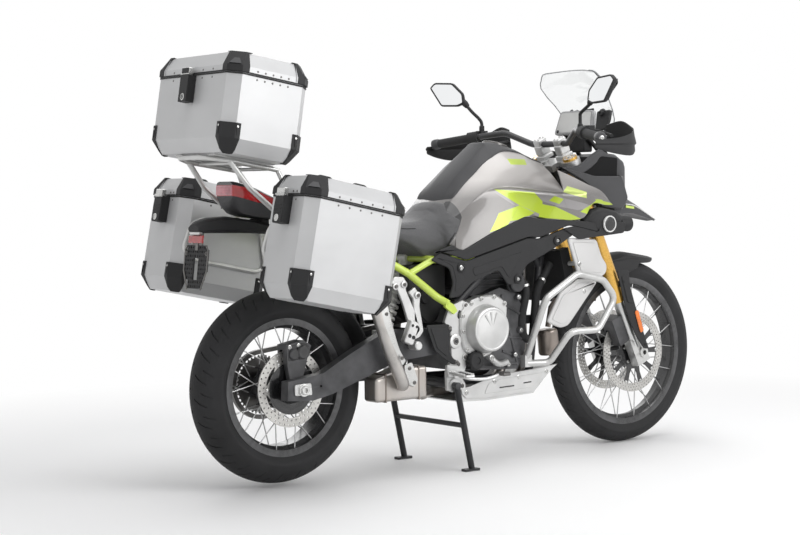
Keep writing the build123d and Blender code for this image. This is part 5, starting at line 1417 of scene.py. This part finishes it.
ENGINE_Y = 143
CLUTCH, GENERATOR = (748, 488), (824, 470)
CLUTCH_CASE = ((640, 545), (640, 478), (656, 415), (704, 388), (762, 392), (818, 424),
               (846, 480), (852, 556), (838, 585), (795, 606), (735, 602), (684, 588))
CLUTCH_BOLTS = ((650, 538), (650, 484), (667, 422), (688, 578), (732, 592),
                (790, 596), (838, 571), (738, 400), (838, 470))
GENERATOR_CASE = ((728, 500), (734, 420), (784, 372), (860, 372),
                  (912, 420), (920, 500), (880, 560), (790, 566))
PIVOT_LINE = ((598, 567), (618, 578), (660, 592), (689, 574), (660, 552), (647, 517), (644, 478),
              (654, 429), (676, 404), (672, 361), (652, 322), (668, 300), (664, 281), (586, 282),
              (584, 350), (602, 384), (605, 417), (601, 488), (577, 517))
PIVOT_SCREWS = ((669, 573), (664, 395), (632, 372), (648, 296))
BATTERY_LINE = (470, 600), (486, 716), (640, 716), (640, 604), (600, 520), (560, 512)
AIR_BOX_LINE = (660, 640), (700, 720), (752, 720), (742, 612)
HEAD_LINE = (790, 852), (940, 842), (972, 816), (964, 780), (776, 790), (770, 826)
PEG_PLATES = (      # the two arms of the passenger's bracket
    ((352, 662), (366, 684), (404, 682), (417, 664), (412, 640), (452, 560),
     (472, 500), (449, 474), (432, 498), (400, 593), (375, 645)),
    ((425, 628), (452, 646), (474, 612), (470, 582), (486, 495),
     (470, 476), (449, 468), (446, 560), (445, 606)),
)
HEEL_LINE = ((492, 515), (589, 513), (606, 492), (593, 481), (592, 418), (607, 393),
             (632, 382), (611, 371), (572, 392), (527, 426), (511, 467))


def engine():
    """Cast side covers with their bolts, the oil filter and the oil pipe."""
    cast, bolts, dark = Shape(), Shape(), Shape()
    side_slab(cast, CLUTCH_CASE, -1, ENGINE_Y + 0.3, 186, 16, 5)
    drum = ((0, 88), (12, 86), (26, 82), (30, 79), (44, 78),
            (48, 75), (49, 70), (48, 68), (48.6, 64), (49.4, 2))
    cast.lathe((CLUTCH[0], -178, CLUTCH[1]), RIGHT, drum, 64)
    tip = Vector((CLUTCH[0], -226.5, CLUTCH[1]))
    for k in range(3):
        turn = math.radians(70 + 26 * k)
        cast.tube([tip + Vector((math.cos(turn), 0, math.sin(turn))) * r for r in (14, 60)], (1.0, 4.5), 10)
    side_slab(cast, GENERATOR_CASE, 1, ENGINE_Y + 0.3, 176, 20, 5)
    drum = ((0, 70), (10, 68), (26, 64), (33, 60), (36, 52), (35, 50), (35.6, 2))
    cast.lathe((GENERATOR[0], 170, GENERATOR[1]), LEFT, drum, 56)
    for x, z in CLUTCH_BOLTS:
        cast.lathe((x, -ENGINE_Y, z), RIGHT, ((0, 12), (38, 10.5), (44, 9.5), (44, 1)), 18)
    bolts.bolts(CLUTCH_BOLTS, 187, 5.2, 6)
    for x, z in GENERATOR_CASE:
        bolts.bolt((x * 0.93 + GENERATOR[0] * 0.07, 176, z * 0.93 + GENERATOR[1] * 0.07), LEFT, 4.6, 6)
    pipe = (783, -150, 390), (786, -166, 384), (806, -170, 366), (832, -166, 358), (868, -158, 362)
    cast.tube(smooth(pipe, 5), 11, 16)
    bolts.bolt((783, -178, 384), RIGHT, 7, 7)
    can = (0, 33), (52, 33), (57, 31), (60, 27), (60, 14), (57, 13), (57, 1)
    dark.lathe((699, -ENGINE_Y, 380), RIGHT, can, 40)
    for k in range(16):
        turn = math.radians(22.5 * k)
        foot = Vector((699 + 33 * math.cos(turn), -ENGINE_Y - 34, 380 + 33 * math.sin(turn)))
        dark.tube([foot, foot + Vector((0, -20, 0))], 2.0, 8)
    cast.piece("engine_cover_castings", "engine_grey", 36, "engine_covers")
    bolts.piece("engine_cover_bolts", "steel_brushed", look="bright_screws")
    dark.piece("oil_filter", "black_plastic", 36)


def crankcase():
    """Ribs, fins and bosses over the plain crankcase and cylinders."""
    ribs, bolts = Shape(), Shape()
    for z in range(628, 749, 20):
        shift = (z - 600) * 0.14
        ribs.box((746 + shift, -112, z), (944 + shift, 112, z + 7), 2)
    for side in (-1, 1):
        side_slab(ribs, HEAD_LINE, side, 100, 122, 10, 4)
    for x, z in ((800, 838), (930, 830), (956, 796), (786, 800)):
        for side in (-1, 1):
            bolts.bolt((x, side * 122, z), (0, side, 0), 5, 6)
    for x0, z0, x1, z1 in ((860, 600, 930, 346), (880, 560, 960, 520), (878, 450, 964, 440),
                           (860, 400, 940, 372), (700, 352, 930, 352)):
        ribs.tube([(x0, -ENGINE_Y, z0), (x1, -ENGINE_Y, z1)], 5, 10)
    bosses = (865, 553), (931, 588), (940, 470), (912, 385), (880, 352)
    for x, z in bosses:
        ribs.lathe((x, -ENGINE_Y + 1, z), RIGHT, ((0, 13), (14, 11), (14, 1)), 20)
    bolts.bolts(bosses, ENGINE_Y + 13, 5, 5)
    pump = (0, 36), (6, 36), (10, 33), (22, 33), (25, 29), (25, 1)
    ribs.lathe((920, -ENGINE_Y + 2, 640), RIGHT, pump, 32)
    ribs.piece("crankcase_ribs", "engine_black", 36)
    bolts.piece("crankcase_bolts", "steel_brushed", look="bright_screws")


def hoses():
    """Coolant hoses, each pushed over a stub at both ends, with their clips."""
    rubber, clips = Shape(), Shape()
    right = ((972, -132, 640), (976, -140, 600), (952, -142, 506), (962, -142, 448), (996, -140, 436),
             (1016, -140, 470), (1024, -136, 540), (1040, -130, 610), (1110, -120, 700))
    left = (1100, 96, 600), (1050, 120, 560), (1004, 128, 500), (968, 128, 460)
    upper = (1118, -60, 724), (1060, -70, 740), (1010, -80, 700), (968, -84, 690)
    for points, radius in ((right, 15), (left, 14), (upper, 15)):
        line = smooth(points, 6)
        rubber.tube(line, radius, 18)
        band = ((-4, radius + 0.5), (-4, radius + 1.6), (4, radius + 1.6), (4, radius + 0.5))
        for here, after in (line[3:5], line[-5:-3]):
            clips.lathe(here, after - here, band, 24)
    rubber.piece("coolant_hoses", "rubber_black", 50)
    clips.piece("hose_clips", "steel_brushed")


def pivots():
    """Cast pivot plates: rounded outline, a raised rim, the oval window and its screws."""
    plates, screws, dark = Shape(), Shape(), Shape()
    side_slab(plates, PIVOT_LINE, -1, 160, 176, 7, 2.5)
    plates.lathe((619, -170, 452), RIGHT, ((0, 27), (14, 25), (15, 23), (15, 16)), 36)
    plates.lathe((612, -168, 300), RIGHT, ((0, 24), (12, 22), (12, 12.5)), 30)
    screws.lathe((619, -180, 452), RIGHT, ((0, 15), (4, 15), (6, 12), (6, 8), (1, 7), (1, 1)), 6)
    dark.lathe((619, -186.2, 452), RIGHT, ((0, 6.4), (0.3, 6.4), (0.3, 1)), 20)
    turns = [math.radians(20 * k) for k in range(18)]
    oval = [(641 + 8 * math.cos(a) + 2.4 * math.sin(a), 543 + 15 * math.sin(a)) for a in turns]
    dark.slab(oval, at_side(-177), 6, 0.4)
    for x, z in PIVOT_SCREWS:
        plates.lathe((x, -172, z), RIGHT, ((0, 13), (7, 12), (7, 1)), 24)
    screws.bolts(PIVOT_SCREWS, 179, 5.5, 5)
    plates.mirror().piece("pivot_castings", "cast_alloy", 36, "pivot_plates")
    screws.mirror().piece("pivot_screws", "steel_dark")
    dark.mirror().piece("pivot_windows", "gloss_black")


def footpegs():
    """Rider's toothed pegs with heel guards; the passenger's open brackets with their folded pegs."""
    cast, pads, guard, bolts = Shape(), Shape(), Shape(), Shape()
    start, end = Vector((600, -186, 346)), Vector((578, -306, 343))
    run = (end - start).normalized()
    across = run.cross(Vector((0, 0, 1))).normalized()
    for out in (-across, across):
        cast.tube([start + out * 12, start + run * 30 + out * 17, end + out * 15], 5, 12)
        for k in range(9):
            foot = start + run * (28 + 11 * k) + out * 17
            cast.tube([foot, foot + Vector((0, 0, 9))], (4.0, 2.2), 8)
    cast.tube([end - across * 15, end + across * 15], 5, 12)
    cast.tube([start - across * 16, start + across * 16], 9, 16)
    for k in range(5):
        at = start + run * (34 + 17 * k)
        pads.tube([at - across * 15, at + across * 15], 5.5, 10)
    side_slab(cast, ((574, 374), (626, 370), (624, 332), (582, 326)), -1, 174.5, 190, 8, 3)
    side_slab(guard, HEEL_LINE, -1, 178, 184, 8, 1.5)
    inner = inset([Vector(p) for p in HEEL_LINE], 11)
    side_slab(guard, [inner[k] for k in (0, 1, 4, 8, 9, 10)], -1, 184, 186.5, 8, 1.2)
    bolts.bolts(((594, 500), (622, 380)), 184, 5, 5)
    for outline in PEG_PLATES:
        side_slab(cast, outline, -1, 164, 176, 6, 2)
    bosses = (367, 652), (403, 657), (460, 618)
    for x, z in bosses:
        cast.lathe((x, -170, z), RIGHT, ((0, 13), (11, 12), (12, 10.5), (12, 1)), 22)
    bolts.bolts(bosses, 182, 5, 4)
    tilt = Matrix.Translation((410, -188, 496)) @ Matrix.Rotation(math.radians(23), 4, "Y")
    peg = rounded([(-21, -40), (19, -40), (17, 40), (-19, 40)], 8, 3)
    cast.slab(peg, tilt @ at_side(-26), 26, 3)
    cast.lathe((434, -174, 450), RIGHT, ((0, 15), (40, 15), (43, 12), (43, 1)), 22)
    for x, z, r in ((-9, 22, 5), (9, 24, 5), (-8, -14, 7), (9, -14, 7)):
        pads.lathe(tilt @ Vector((x, -26.4, z)), RIGHT, ((-1, r), (0.6, r), (0.6, 1)), 16)
    cast.mirror().piece("footrest_castings", "cast_alloy", 36, "footrests")
    pads.mirror().piece("footrest_pads", "rubber_black", 40)
    guard.mirror().piece("heel_guards", "black_plastic")
    bolts.mirror().piece("footrest_bolts", "steel_dark")


def dark_bodies():
    """What fills the frame behind the covers: battery box, air box, inner mudguard and a plate in front."""
    shape = Shape()
    for side in (-1, 1):
        side_slab(shape, BATTERY_LINE, side, 44, 104, 12, 4)
        side_slab(shape, AIR_BOX_LINE, side, 40, 112, 8, 4)
    arc = [math.radians(14 + 7 * k) for k in range(9)]
    crown = (339, -82), (342, -84), (348, -78), (351, 0), (348, 78), (342, 84), (339, 82), (346, 0)
    shape.skin([[round_axle(REAR_AXLE, r, a, y) for r, y in crown] for a in arc])
    for y in (-60, 0, 60):
        shape.tube([round_axle(REAR_AXLE, 350, a, y) for a in arc], 3, 8)
    shape.lathe((548, -122, 610), LEFT, ((0, 8), (4, 26), (18, 30), (19, 1)), 32)
    shape.box((1000, -96, 470), (1008, 96, 760), 2)
    shape.piece("inner_bodies", "black_plastic", 36)


def radiator_sides():
    """Pale plates beside the radiator, with a raised field, and the horn-like can behind them."""
    pale, screws, can = Shape(), Shape(), Shape()
    upper = ((1097, 794), (1236, 786), (1262, 720), (1288, 690), (1282, 662), (1262, 650), (1150, 652))
    lower = ((1228, 640), (1238, 628), (1098, 482), (1060, 474), (996, 500), (1060, 600), (1150, 646))
    for outline, y, x, z in ((upper, 222, 1150, 700), (lower, 220, 1172, 600)):
        side_slab(pale, outline, -1, y, y + 12, 14, 3)
        side_slab(pale, inset(outline, 14), -1, y + 11, y + 14.5, 10, 1.2)
        pale.lathe((x, -y - 2, z), LEFT, ((0, 8), (y - 178, 8)), 16)
        screws.bolt((x, -y - 14.5, z), RIGHT, 5.5, 4)
    can.lathe((1100, -112, 462), (0.1, 0, -1), ((0, 30), (3, 36), (10, 38), (84, 38), (92, 34), (95, 1)), 36)
    can.lathe((1099, -112, 452), (0.1, 0, -1), ((0, 39.5), (6, 39.5)), 36)
    can.tube([(1104, -112, 470), (1120, -112, 540), (1140, -120, 570)], 10, 14)
    pale.mirror().piece("radiator_side_plates", "silver_paint", 36, "radiator_panels", look="pale_silver")
    screws.mirror().piece("radiator_side_screws", "steel_brushed", look="bright_screws")
    can.piece("expansion_can", "steel_pipe", 36, look="heated_steel")


def skid_cheeks():
    """Skid plate's upturned cheeks with their screws and slots."""
    cheek, screws, dark = Shape(), Shape(), Shape()
    line = ((672, 262), (690, 246), (780, 240), (1000, 247), (1088, 320), (1116, 338),
            (1032, 330), (865, 318), (793, 306), (758, 300), (700, 286), (666, 284))
    side_slab(cheek, line, -1, 146.3, 150.3, 4, 1)
    side_slab(cheek, ((770, 256), (1000, 262), (1060, 312), (860, 304), (790, 292)), -1, 150, 152, 6, 0.8)
    screws.bolts(((817, 296), (929, 303), (1060, 314), (690, 266)), 151, 6, 4.5)
    for x0, x1, z in ((838, 907, 274), (950, 988, 282)):
        side_slab(dark, ((x0, z - 4), (x1, z - 2), (x1, z + 3), (x0, z + 1)), -1, 151.6, 152.4, 2, 0.3)
    cheek.mirror().piece("skid_cheeks", "cast_alloy", 36)
    screws.mirror().piece("skid_screws", "steel_brushed", look="bright_screws")
    dark.mirror().piece("skid_slots", "gloss_black")


def heat_shields():
    """Brushed plates over the riser and the chamber, and the chamber's seams."""
    bright, seams, screws = Shape(), Shape(), Shape()
    line = smooth([(366, -212, 392), (330, -222, 440), (300, -226, 520), (276, -226, 606)], 6)
    bow = ((-24, -10), (-17, 1), (0, 4), (17, 1), (24, -10),
           (23, -12), (15, -2), (0, 1), (-15, -2), (-23, -12))
    rings = []
    for before, here, after in zip(line[:1] + line[:-1], line, line[1:] + line[-1:]):
        way = (after - before).normalized()
        wide = Vector(RIGHT).cross(way).normalized()
        rings.append([here + wide * w + Vector((0, -d, 0)) for w, d in bow])
    bright.skin(rings)
    outline = (404, 384), (438, 392), (462, 330), (446, 306), (420, 318), (408, 350)
    side_slab(bright, outline, -1, 168, 172, 6, 1.2)
    screws.bolts(((352, 416), (290, 566)), 229, 5, 4).bolts(((426, 372), (446, 322)), 172, 5, 4)
    for x, behind, ahead in ((330, 358, 362), (470, 378, 378)):
        seam_line = rounded([(x - 3, 262), (x + 3, 262), (x + 3, ahead), (x - 3, behind)], 2, 2)
        seams.slab(seam_line, at_side(-168), 80, 1)
    bright.piece("exhaust_heat_shields", "steel_brushed", 40)
    seams.piece("chamber_seams", "steel_pipe", look="heated_steel")
    screws.piece("heat_shield_screws", "steel_dark")


def silencer():
    """Oval can with rolled rims, its strap and a short end pipe, tucked behind the right case."""
    can, strap = Shape(), Shape()
    start, end = Vector((150, -186, 672)), Vector((-120, -178, 724))
    way = (end - start).normalized()
    across = way.cross(Vector((0, 0, 1))).normalized()
    high = across.cross(way)

    turns = [2 * math.pi * k / 40 for k in range(40)]

    def rings(rows):
        return [[start + way * d + across * a * math.cos(t) + high * b * math.sin(t) for t in turns]
                for d, a, b in rows]

    long = (end - start).length
    front = (-14, 22.5, 22.5), (14, 27, 27), (34, 34, 46), (40, 38, 52), (48, 39.5, 53.5), (54, 38, 52)
    rear = (-20, 38, 52), (-14, 39.5, 53.5), (-6, 38, 52), (0, 33, 47), (0, 24, 24), (20, 24, 24), (20, 20, 20)
    can.skin(rings([*front, *((long + d, a, b) for d, a, b in rear), (long - 30, 20, 20)]))
    strap.skin(rings(((128, 38.2, 52.2), (128, 40, 54), (150, 40, 54), (150, 38.2, 52.2))), caps=False)
    strap.box((20, -186, 750), (44, -172, 812), 2)
    can.piece("silencer_can", "steel_brushed", 36, "silencer")
    strap.piece("silencer_strap", "frame_black", 36, look="dark_cast")


def brake_pedal():
    """Rear brake pedal on the pivot plate, with its ribbed pad."""
    lever, pad = Shape(), Shape()
    line = smooth([(612, -190, 338), (660, -206, 322), (720, -222, 318), (780, -230, 330)], 5)
    lever.tube(line, [6 + 0.02 * k for k in range(len(line))], 12)
    lever.lathe((612, -176, 338), RIGHT, ((0, 14), (20, 13), (21, 1)), 22)
    pad.box((768, -262, 326), (800, -218, 336), 3)
    for k in range(5):
        pad.box((771 + 6 * k, -260, 335), (774 + 6 * k, -220, 339), 0.8)
    lever.piece("brake_pedal", "cast_alloy", 40)
    pad.piece("brake_pedal_pad", "steel_dark")


engine()
crankcase()
hoses()
pivots()
footpegs()
dark_bodies()
radiator_sides()
skid_cheeks()
heat_shields()
silencer()
brake_pedal()


# ---------------------------------------------------------------- tail, plate carrier and swingarm ends

TAIL_ROWS = (       # x, half-width, top z, lamp's top and low z, low half-width, low z
    (-32, 92, 954, 946, 930, 76, 890), (-72, 88, 972, 962, 936, 70, 893),
    (-112, 82, 990, 980, 942, 60, 898), (-150, 70, 1004, 992, 954, 48, 908),
    (-176, 57, 1011, 998, 962, 40, 930), (-186, 50, 1011, 1000, 964, 37, 946),
)


def tail():
    """Tail body, its lid, and the lamp band that wraps round between them."""
    lid, lamp, face, body = Shape(), Shape(), Shape(), Shape()
    lid.skin([[(x, -w, e1), (x, 8 - w, top - 3), (x, 20 - w, top),
               (x, w - 20, top), (x, w - 8, top - 3), (x, w, e1)] for x, w, top, e1, _, _, _ in TAIL_ROWS])
    lamp.skin([[(x, -w + 2, e0), (x, -w + 2, e1), (x, w - 2, e1), (x, w - 2, e0)]
               for x, w, _, e1, e0, _, _ in TAIL_ROWS])
    body.skin([[(x, -wl, low), (x, -w, e0), (x, w, e0), (x, wl, low),
                (x, wl * 0.5, low - 4), (x, -wl * 0.5, low - 4)] for x, w, _, _, e0, wl, low in TAIL_ROWS])
    x, w, _, e1, e0, _, _ = TAIL_ROWS[-1]
    face.skin([[(x - d, (w - c) * s, z) for s, z in ((-1, e0 + c), (-1, e1 - c), (1, e1 - c), (1, e0 + c))]
               for d, c in ((0, 2), (3, 2.5), (4, 6))])
    for k in range(5):
        z = e0 + 6 + 5.5 * k
        face.box((x - 5, -w + 8, z), (x - 3.2, w - 8, z + 2), 0.5)
    lid.piece("tail_lid", "gloss_black", 36, "tail_unit")
    lamp.piece("tail_lamp_band", "red_lens", 36, "tail_lamp")
    face.piece("tail_lamp_face", "red_lens", 36, look="pink_lens")
    body.piece("tail_body", "grey_plastic", 36)


def mudguard():
    """Crowned rear mudguard arm with its plate lamp and the lip at its end."""
    arm, lamp = Shape(), Shape()
    rows = ((70, 60, 834, 847), (-20, 61, 836, 868), (-110, 57, 845, 888), (-190, 50, 852, 899),
            (-260, 42, 852, 896), (-296, 36, 850, 884), (-305, 32, 852, 876))
    rings = []
    for x, w, low, top in rows:
        rings.append([(x, 6 - w, low), (x, -w, low + 5), (x, -w, top - 12), (x, 16 - w, top - 3), (x, 0, top),
                      (x, w - 16, top - 3), (x, w, top - 12), (x, w, low + 5), (x, w - 6, low)])
    arm.skin(rings)
    for side in (-1, 1):
        arm.tube([(60, side * 52, 838), (-100, side * 50, 846), (-290, side * 30, 851)], 4, 10)
    arm.box((-70, -39, 852), (-40, 39, 888), 3)
    lamp.box((-304, -30, 842), (-284, 30, 853), 3)
    arm.piece("mudguard_arm", "black_plastic", 40, "rear_mudguard")
    lamp.piece("plate_lamp", "steel_brushed")


def plate_carrier():
    """Perforated plate carrier: cells with a round hole each, a neck, its frame and the reflector."""
    sheet, neck, red = Shape(), Shape(), Shape()
    lay = Matrix.Translation((-284, 0, 850.8)) @ Matrix.Rotation(math.radians(7), 4, "Y")
    half_cell = 7.0
    edge = ((-1, -1), (0, -1), (1, -1), (1, 0), (1, 1), (0, 1), (-1, 1), (-1, 0))
    turns = [math.radians(45 * m - 45) for m in range(8)]
    for i, half_row in enumerate((4, 5, 5, 5, 5, 5, 4, 4, 3, 3)):
        z = -50 - 2 * half_cell * i
        for j in range(-half_row, half_row):
            y, r = half_cell * (2 * j + 1), 3.0 if (i + j) % 2 else 4.4
            if 3 <= i <= 7 and j in (-1, 0):        # the slot down the middle
                continue
            sheet.cell(*([(x, y + a * half_cell, z + b * half_cell) for a, b in edge]
                         + [(x, y + r * math.sin(t), z - r * math.cos(t)) for t in turns]
                         for x in (-2.5, 2.5)), range(8))
    neck.box((-2.5, -30, -46), (2.5, 30, 0), 1)
    neck.box((-5, -8, -60), (-2.4, 8, 2), 0.8)
    for side in (-1, 1):
        frame_line = ((58, -46), (71, -58), (71, -126), (42, -186))
        neck.tube([(-3, side * y, z) for y, z in frame_line], 2.6, 8)
        neck.bolt((-2.6, side * 62, -70), BACK, 5, 4)
    red.box((-12, -44, -37), (-4.5, 44, -12), 2.5)
    sheet.moved(lay).piece("plate_sheet", "black_plastic", 30, "plate_carrier")
    neck.moved(lay).piece("plate_neck", "steel_dark", 36)
    red.moved(lay).piece("rear_reflector", "red_lens", 36)


def swingarm_ends():
    """Chain adjusters and axle nuts on the swingarm, and the rear caliper of two cheeks and a bridge."""
    block, nut, caliper, screws = Shape(), Shape(), Shape(), Shape()
    for side in (-1, 1):
        side_slab(block, ((-34, 350), (30, 352), (34, 312), (-34, 314)), side, 158.3, 164, 6, 1.5)
        nut.lathe((0, side * 163, 331), (0, side, 0), ((0, 21), (2.5, 21), (3.5, 17)), 28)
        nut.lathe((0, side * 165, 331), (0, side, 0),
                  ((0, 16), (10, 16), (12, 13), (12, 9), (4, 8.5), (4, 1)), 6)
        nut.tube([(-34, side * 140, 332), (-52, side * 140, 332)], 4, 10)
        nut.lathe((-44, side * 140, 332), BACK, ((0, 7.5), (6, 7.5), (6.5, 6)), 6)
    caliper.lathe((24, -124, 452), RIGHT, ((-2, 24), (8, 24), (12, 20), (12, 1)), 30)
    caliper.lathe((-10, -122, 446), RIGHT, ((0, 19), (7, 19), (10, 15), (10, 1)), 28)
    cheek = (-34, 420), (40, 428), (58, 470), (30, 486), (-34, 474)
    bridge = (-34, 469), (57, 468), (30, 486), (-34, 475)
    side_slab(caliper, cheek, -1, 97, 124, 9, 5)
    side_slab(caliper, cheek, -1, 60, 76, 9, 4)
    side_slab(caliper, bridge, -1, 72, 101, 4, 2)
    screws.bolts(((9, 474), (-26, 470), (44, 440)), 124, 5, 5)
    block.piece("chain_adjusters", "cast_alloy", 36)
    nut.piece("rear_axle_nuts", "steel_brushed")
    caliper.piece("rear_caliper_body", "frame_black", 36, look="dark_cast")
    screws.piece("rear_caliper_screws", "steel_brushed", look="bright_screws")


tail()
mudguard()
plate_carrier()
swingarm_ends()


# ---------------------------------------------------------------- studio and camera
CAMERA_AT = Vector((-3318.8, -5091.0, 990.2))
CAMERA_YAW, CAMERA_PITCH, CAMERA_ROLL = 0.64629, -0.04471, -0.01515
FOCAL_PIXELS, FRAME_PIXELS, SENSOR = 1835.65, 800, 36.0
FLOOR_REACH = 60                        # metres from the middle to the floor's edges
FADE = 1.7, 3.2                         # metres from the middle: the floor's shading fades out between them


def camera():
    """The photo's view, found from its measured points."""
    yaw, pitch = CAMERA_YAW, CAMERA_PITCH
    ahead = Vector((math.cos(pitch) * math.sin(yaw), math.cos(pitch) * math.cos(yaw), math.sin(pitch)))
    right = Vector((math.cos(yaw), -math.sin(yaw), 0))
    up = right.cross(ahead)
    tilt = math.cos(CAMERA_ROLL), math.sin(CAMERA_ROLL)
    rows = (right * tilt[0] + up * tilt[1], up * tilt[0] - right * tilt[1], -ahead)
    data = bpy.data.cameras.new("camera")
    data.sensor_width = SENSOR
    data.lens = FOCAL_PIXELS / FRAME_PIXELS * SENSOR
    data.clip_end = 200
    obj = bpy.data.objects.new("camera", data)
    bpy.context.scene.collection.objects.link(obj)
    turn = Matrix(rows).transposed().to_4x4()
    obj.matrix_world = Matrix.Translation((CAMERA_AT - Vector((ORIGIN_X, 0, 0))) * MM) @ turn
    bpy.context.scene.camera = obj


def floor():
    """White floor near the object that fades to a plain white ground."""
    n = Nodes("floor_white")
    x, y, _ = n.axes()
    x = n.math("SUBTRACT", x, ORIGIN_X * MM)
    away = n.math("SQRT", n.total(n.product(x, x), n.product(y, y)))
    near = n.noise(2.5, 3)
    n.link(n.mix(near, (0.955, 0.955, 0.955), (0.97, 0.97, 0.97)), n.shader.inputs["Base Color"])
    n.shader.inputs["Roughness"].default_value = 0.7
    n.shader.inputs["Specular IOR Level"].default_value = 0.1
    glow = n.new("Emission")
    mix = n.new("MixShader")
    n.link(n.ranged(away, *FADE, 0, 1), mix.inputs[0])
    n.link(n.shader.outputs[0], mix.inputs[1])
    n.link(glow.outputs[0], mix.inputs[2])
    n.link(mix.outputs[0], n.tree.nodes["Material Output"].inputs["Surface"])
    mesh = bpy.data.meshes.new("floor")
    corners = [(x * FLOOR_REACH, y * FLOOR_REACH, 0) for x, y in ((-1, -1), (1, -1), (1, 1), (-1, 1))]
    mesh.from_pydata(corners, [], [(0, 1, 2, 3)])
    mesh.materials.append(n.material)
    obj = bpy.data.objects.new("floor", mesh)
    bpy.context.scene.collection.objects.link(obj)


def softbox(name, at, towards, width, height, watts):
    """A rectangular lamp at a place in metres, turned towards another."""
    data = bpy.data.lights.new(name, "AREA")
    data.shape = "RECTANGLE"
    data.size, data.size_y, data.energy = width, height, watts
    obj = bpy.data.objects.new(name, data)
    bpy.context.scene.collection.objects.link(obj)
    at, towards = Vector(at), Vector(towards)
    obj.matrix_world = Matrix.Translation(at) @ (towards - at).to_track_quat("-Z", "Y").to_matrix().to_4x4()


def studio():
    """White room: plain white to the camera, grey walls with a light ceiling in the reflections."""
    world = bpy.data.worlds.new("studio")
    bpy.context.scene.world = world
    world.use_nodes = True
    tree = world.node_tree
    tree.nodes.clear()
    place = tree.nodes.new("ShaderNodeTexCoord")
    split = tree.nodes.new("ShaderNodeSeparateXYZ")
    ramp = tree.nodes.new("ShaderNodeValToRGB")
    ramp.color_ramp.elements[0].position = 0.35
    ramp.color_ramp.elements[0].color = (0.55, 0.55, 0.56, 1)
    ramp.color_ramp.elements[1].position = 0.95
    ramp.color_ramp.elements[1].color = (0.95, 0.95, 0.96, 1)
    middle = ramp.color_ramp.elements.new(0.52)
    middle.color = (0.36, 0.36, 0.37, 1)
    half = tree.nodes.new("ShaderNodeMath")
    half.operation = "MULTIPLY_ADD"
    half.inputs[1].default_value = half.inputs[2].default_value = 0.5
    room, white = tree.nodes.new("ShaderNodeBackground"), tree.nodes.new("ShaderNodeBackground")
    room.inputs["Strength"].default_value = 0.55
    white.inputs["Color"].default_value = (1, 1, 1, 1)
    path = tree.nodes.new("ShaderNodeLightPath")
    seen = tree.nodes.new("ShaderNodeMath")
    shiny = tree.nodes.new("ShaderNodeMath")
    seen.operation = shiny.operation = "MAXIMUM"
    mix = tree.nodes.new("ShaderNodeMixShader")
    out = tree.nodes.new("ShaderNodeOutputWorld")
    for source, target in (
        (place.outputs["Generated"], split.inputs[0]), (split.outputs[2], half.inputs[0]),
        (half.outputs[0], ramp.inputs[0]), (ramp.outputs[0], room.inputs["Color"]),
        (path.outputs["Is Camera Ray"], seen.inputs[0]),
        (path.outputs["Is Transmission Ray"], seen.inputs[1]),
        (seen.outputs[0], shiny.inputs[0]), (path.outputs["Is Glossy Ray"], shiny.inputs[1]),
        (shiny.outputs[0], mix.inputs[0]), (room.outputs[0], mix.inputs[1]),
        (white.outputs[0], mix.inputs[2]),
        (mix.outputs[0], out.inputs["Surface"]),
    ):
        tree.links.new(source, target)
    bpy.context.scene.view_settings.view_transform = "Standard"
    softbox("key", (1.4, -4.4, 2.2), (0.0, 0, 0.6), 3.6, 2.2, 118)
    softbox("top", (0.2, -0.4, 4.2), (0, 0, 0.4), 4.5, 3.0, 85)
    softbox("back", (1.5, 4.0, 2.6), (0, 0, 0.6), 3.5, 2.2, 45)


camera()
floor()
studio()
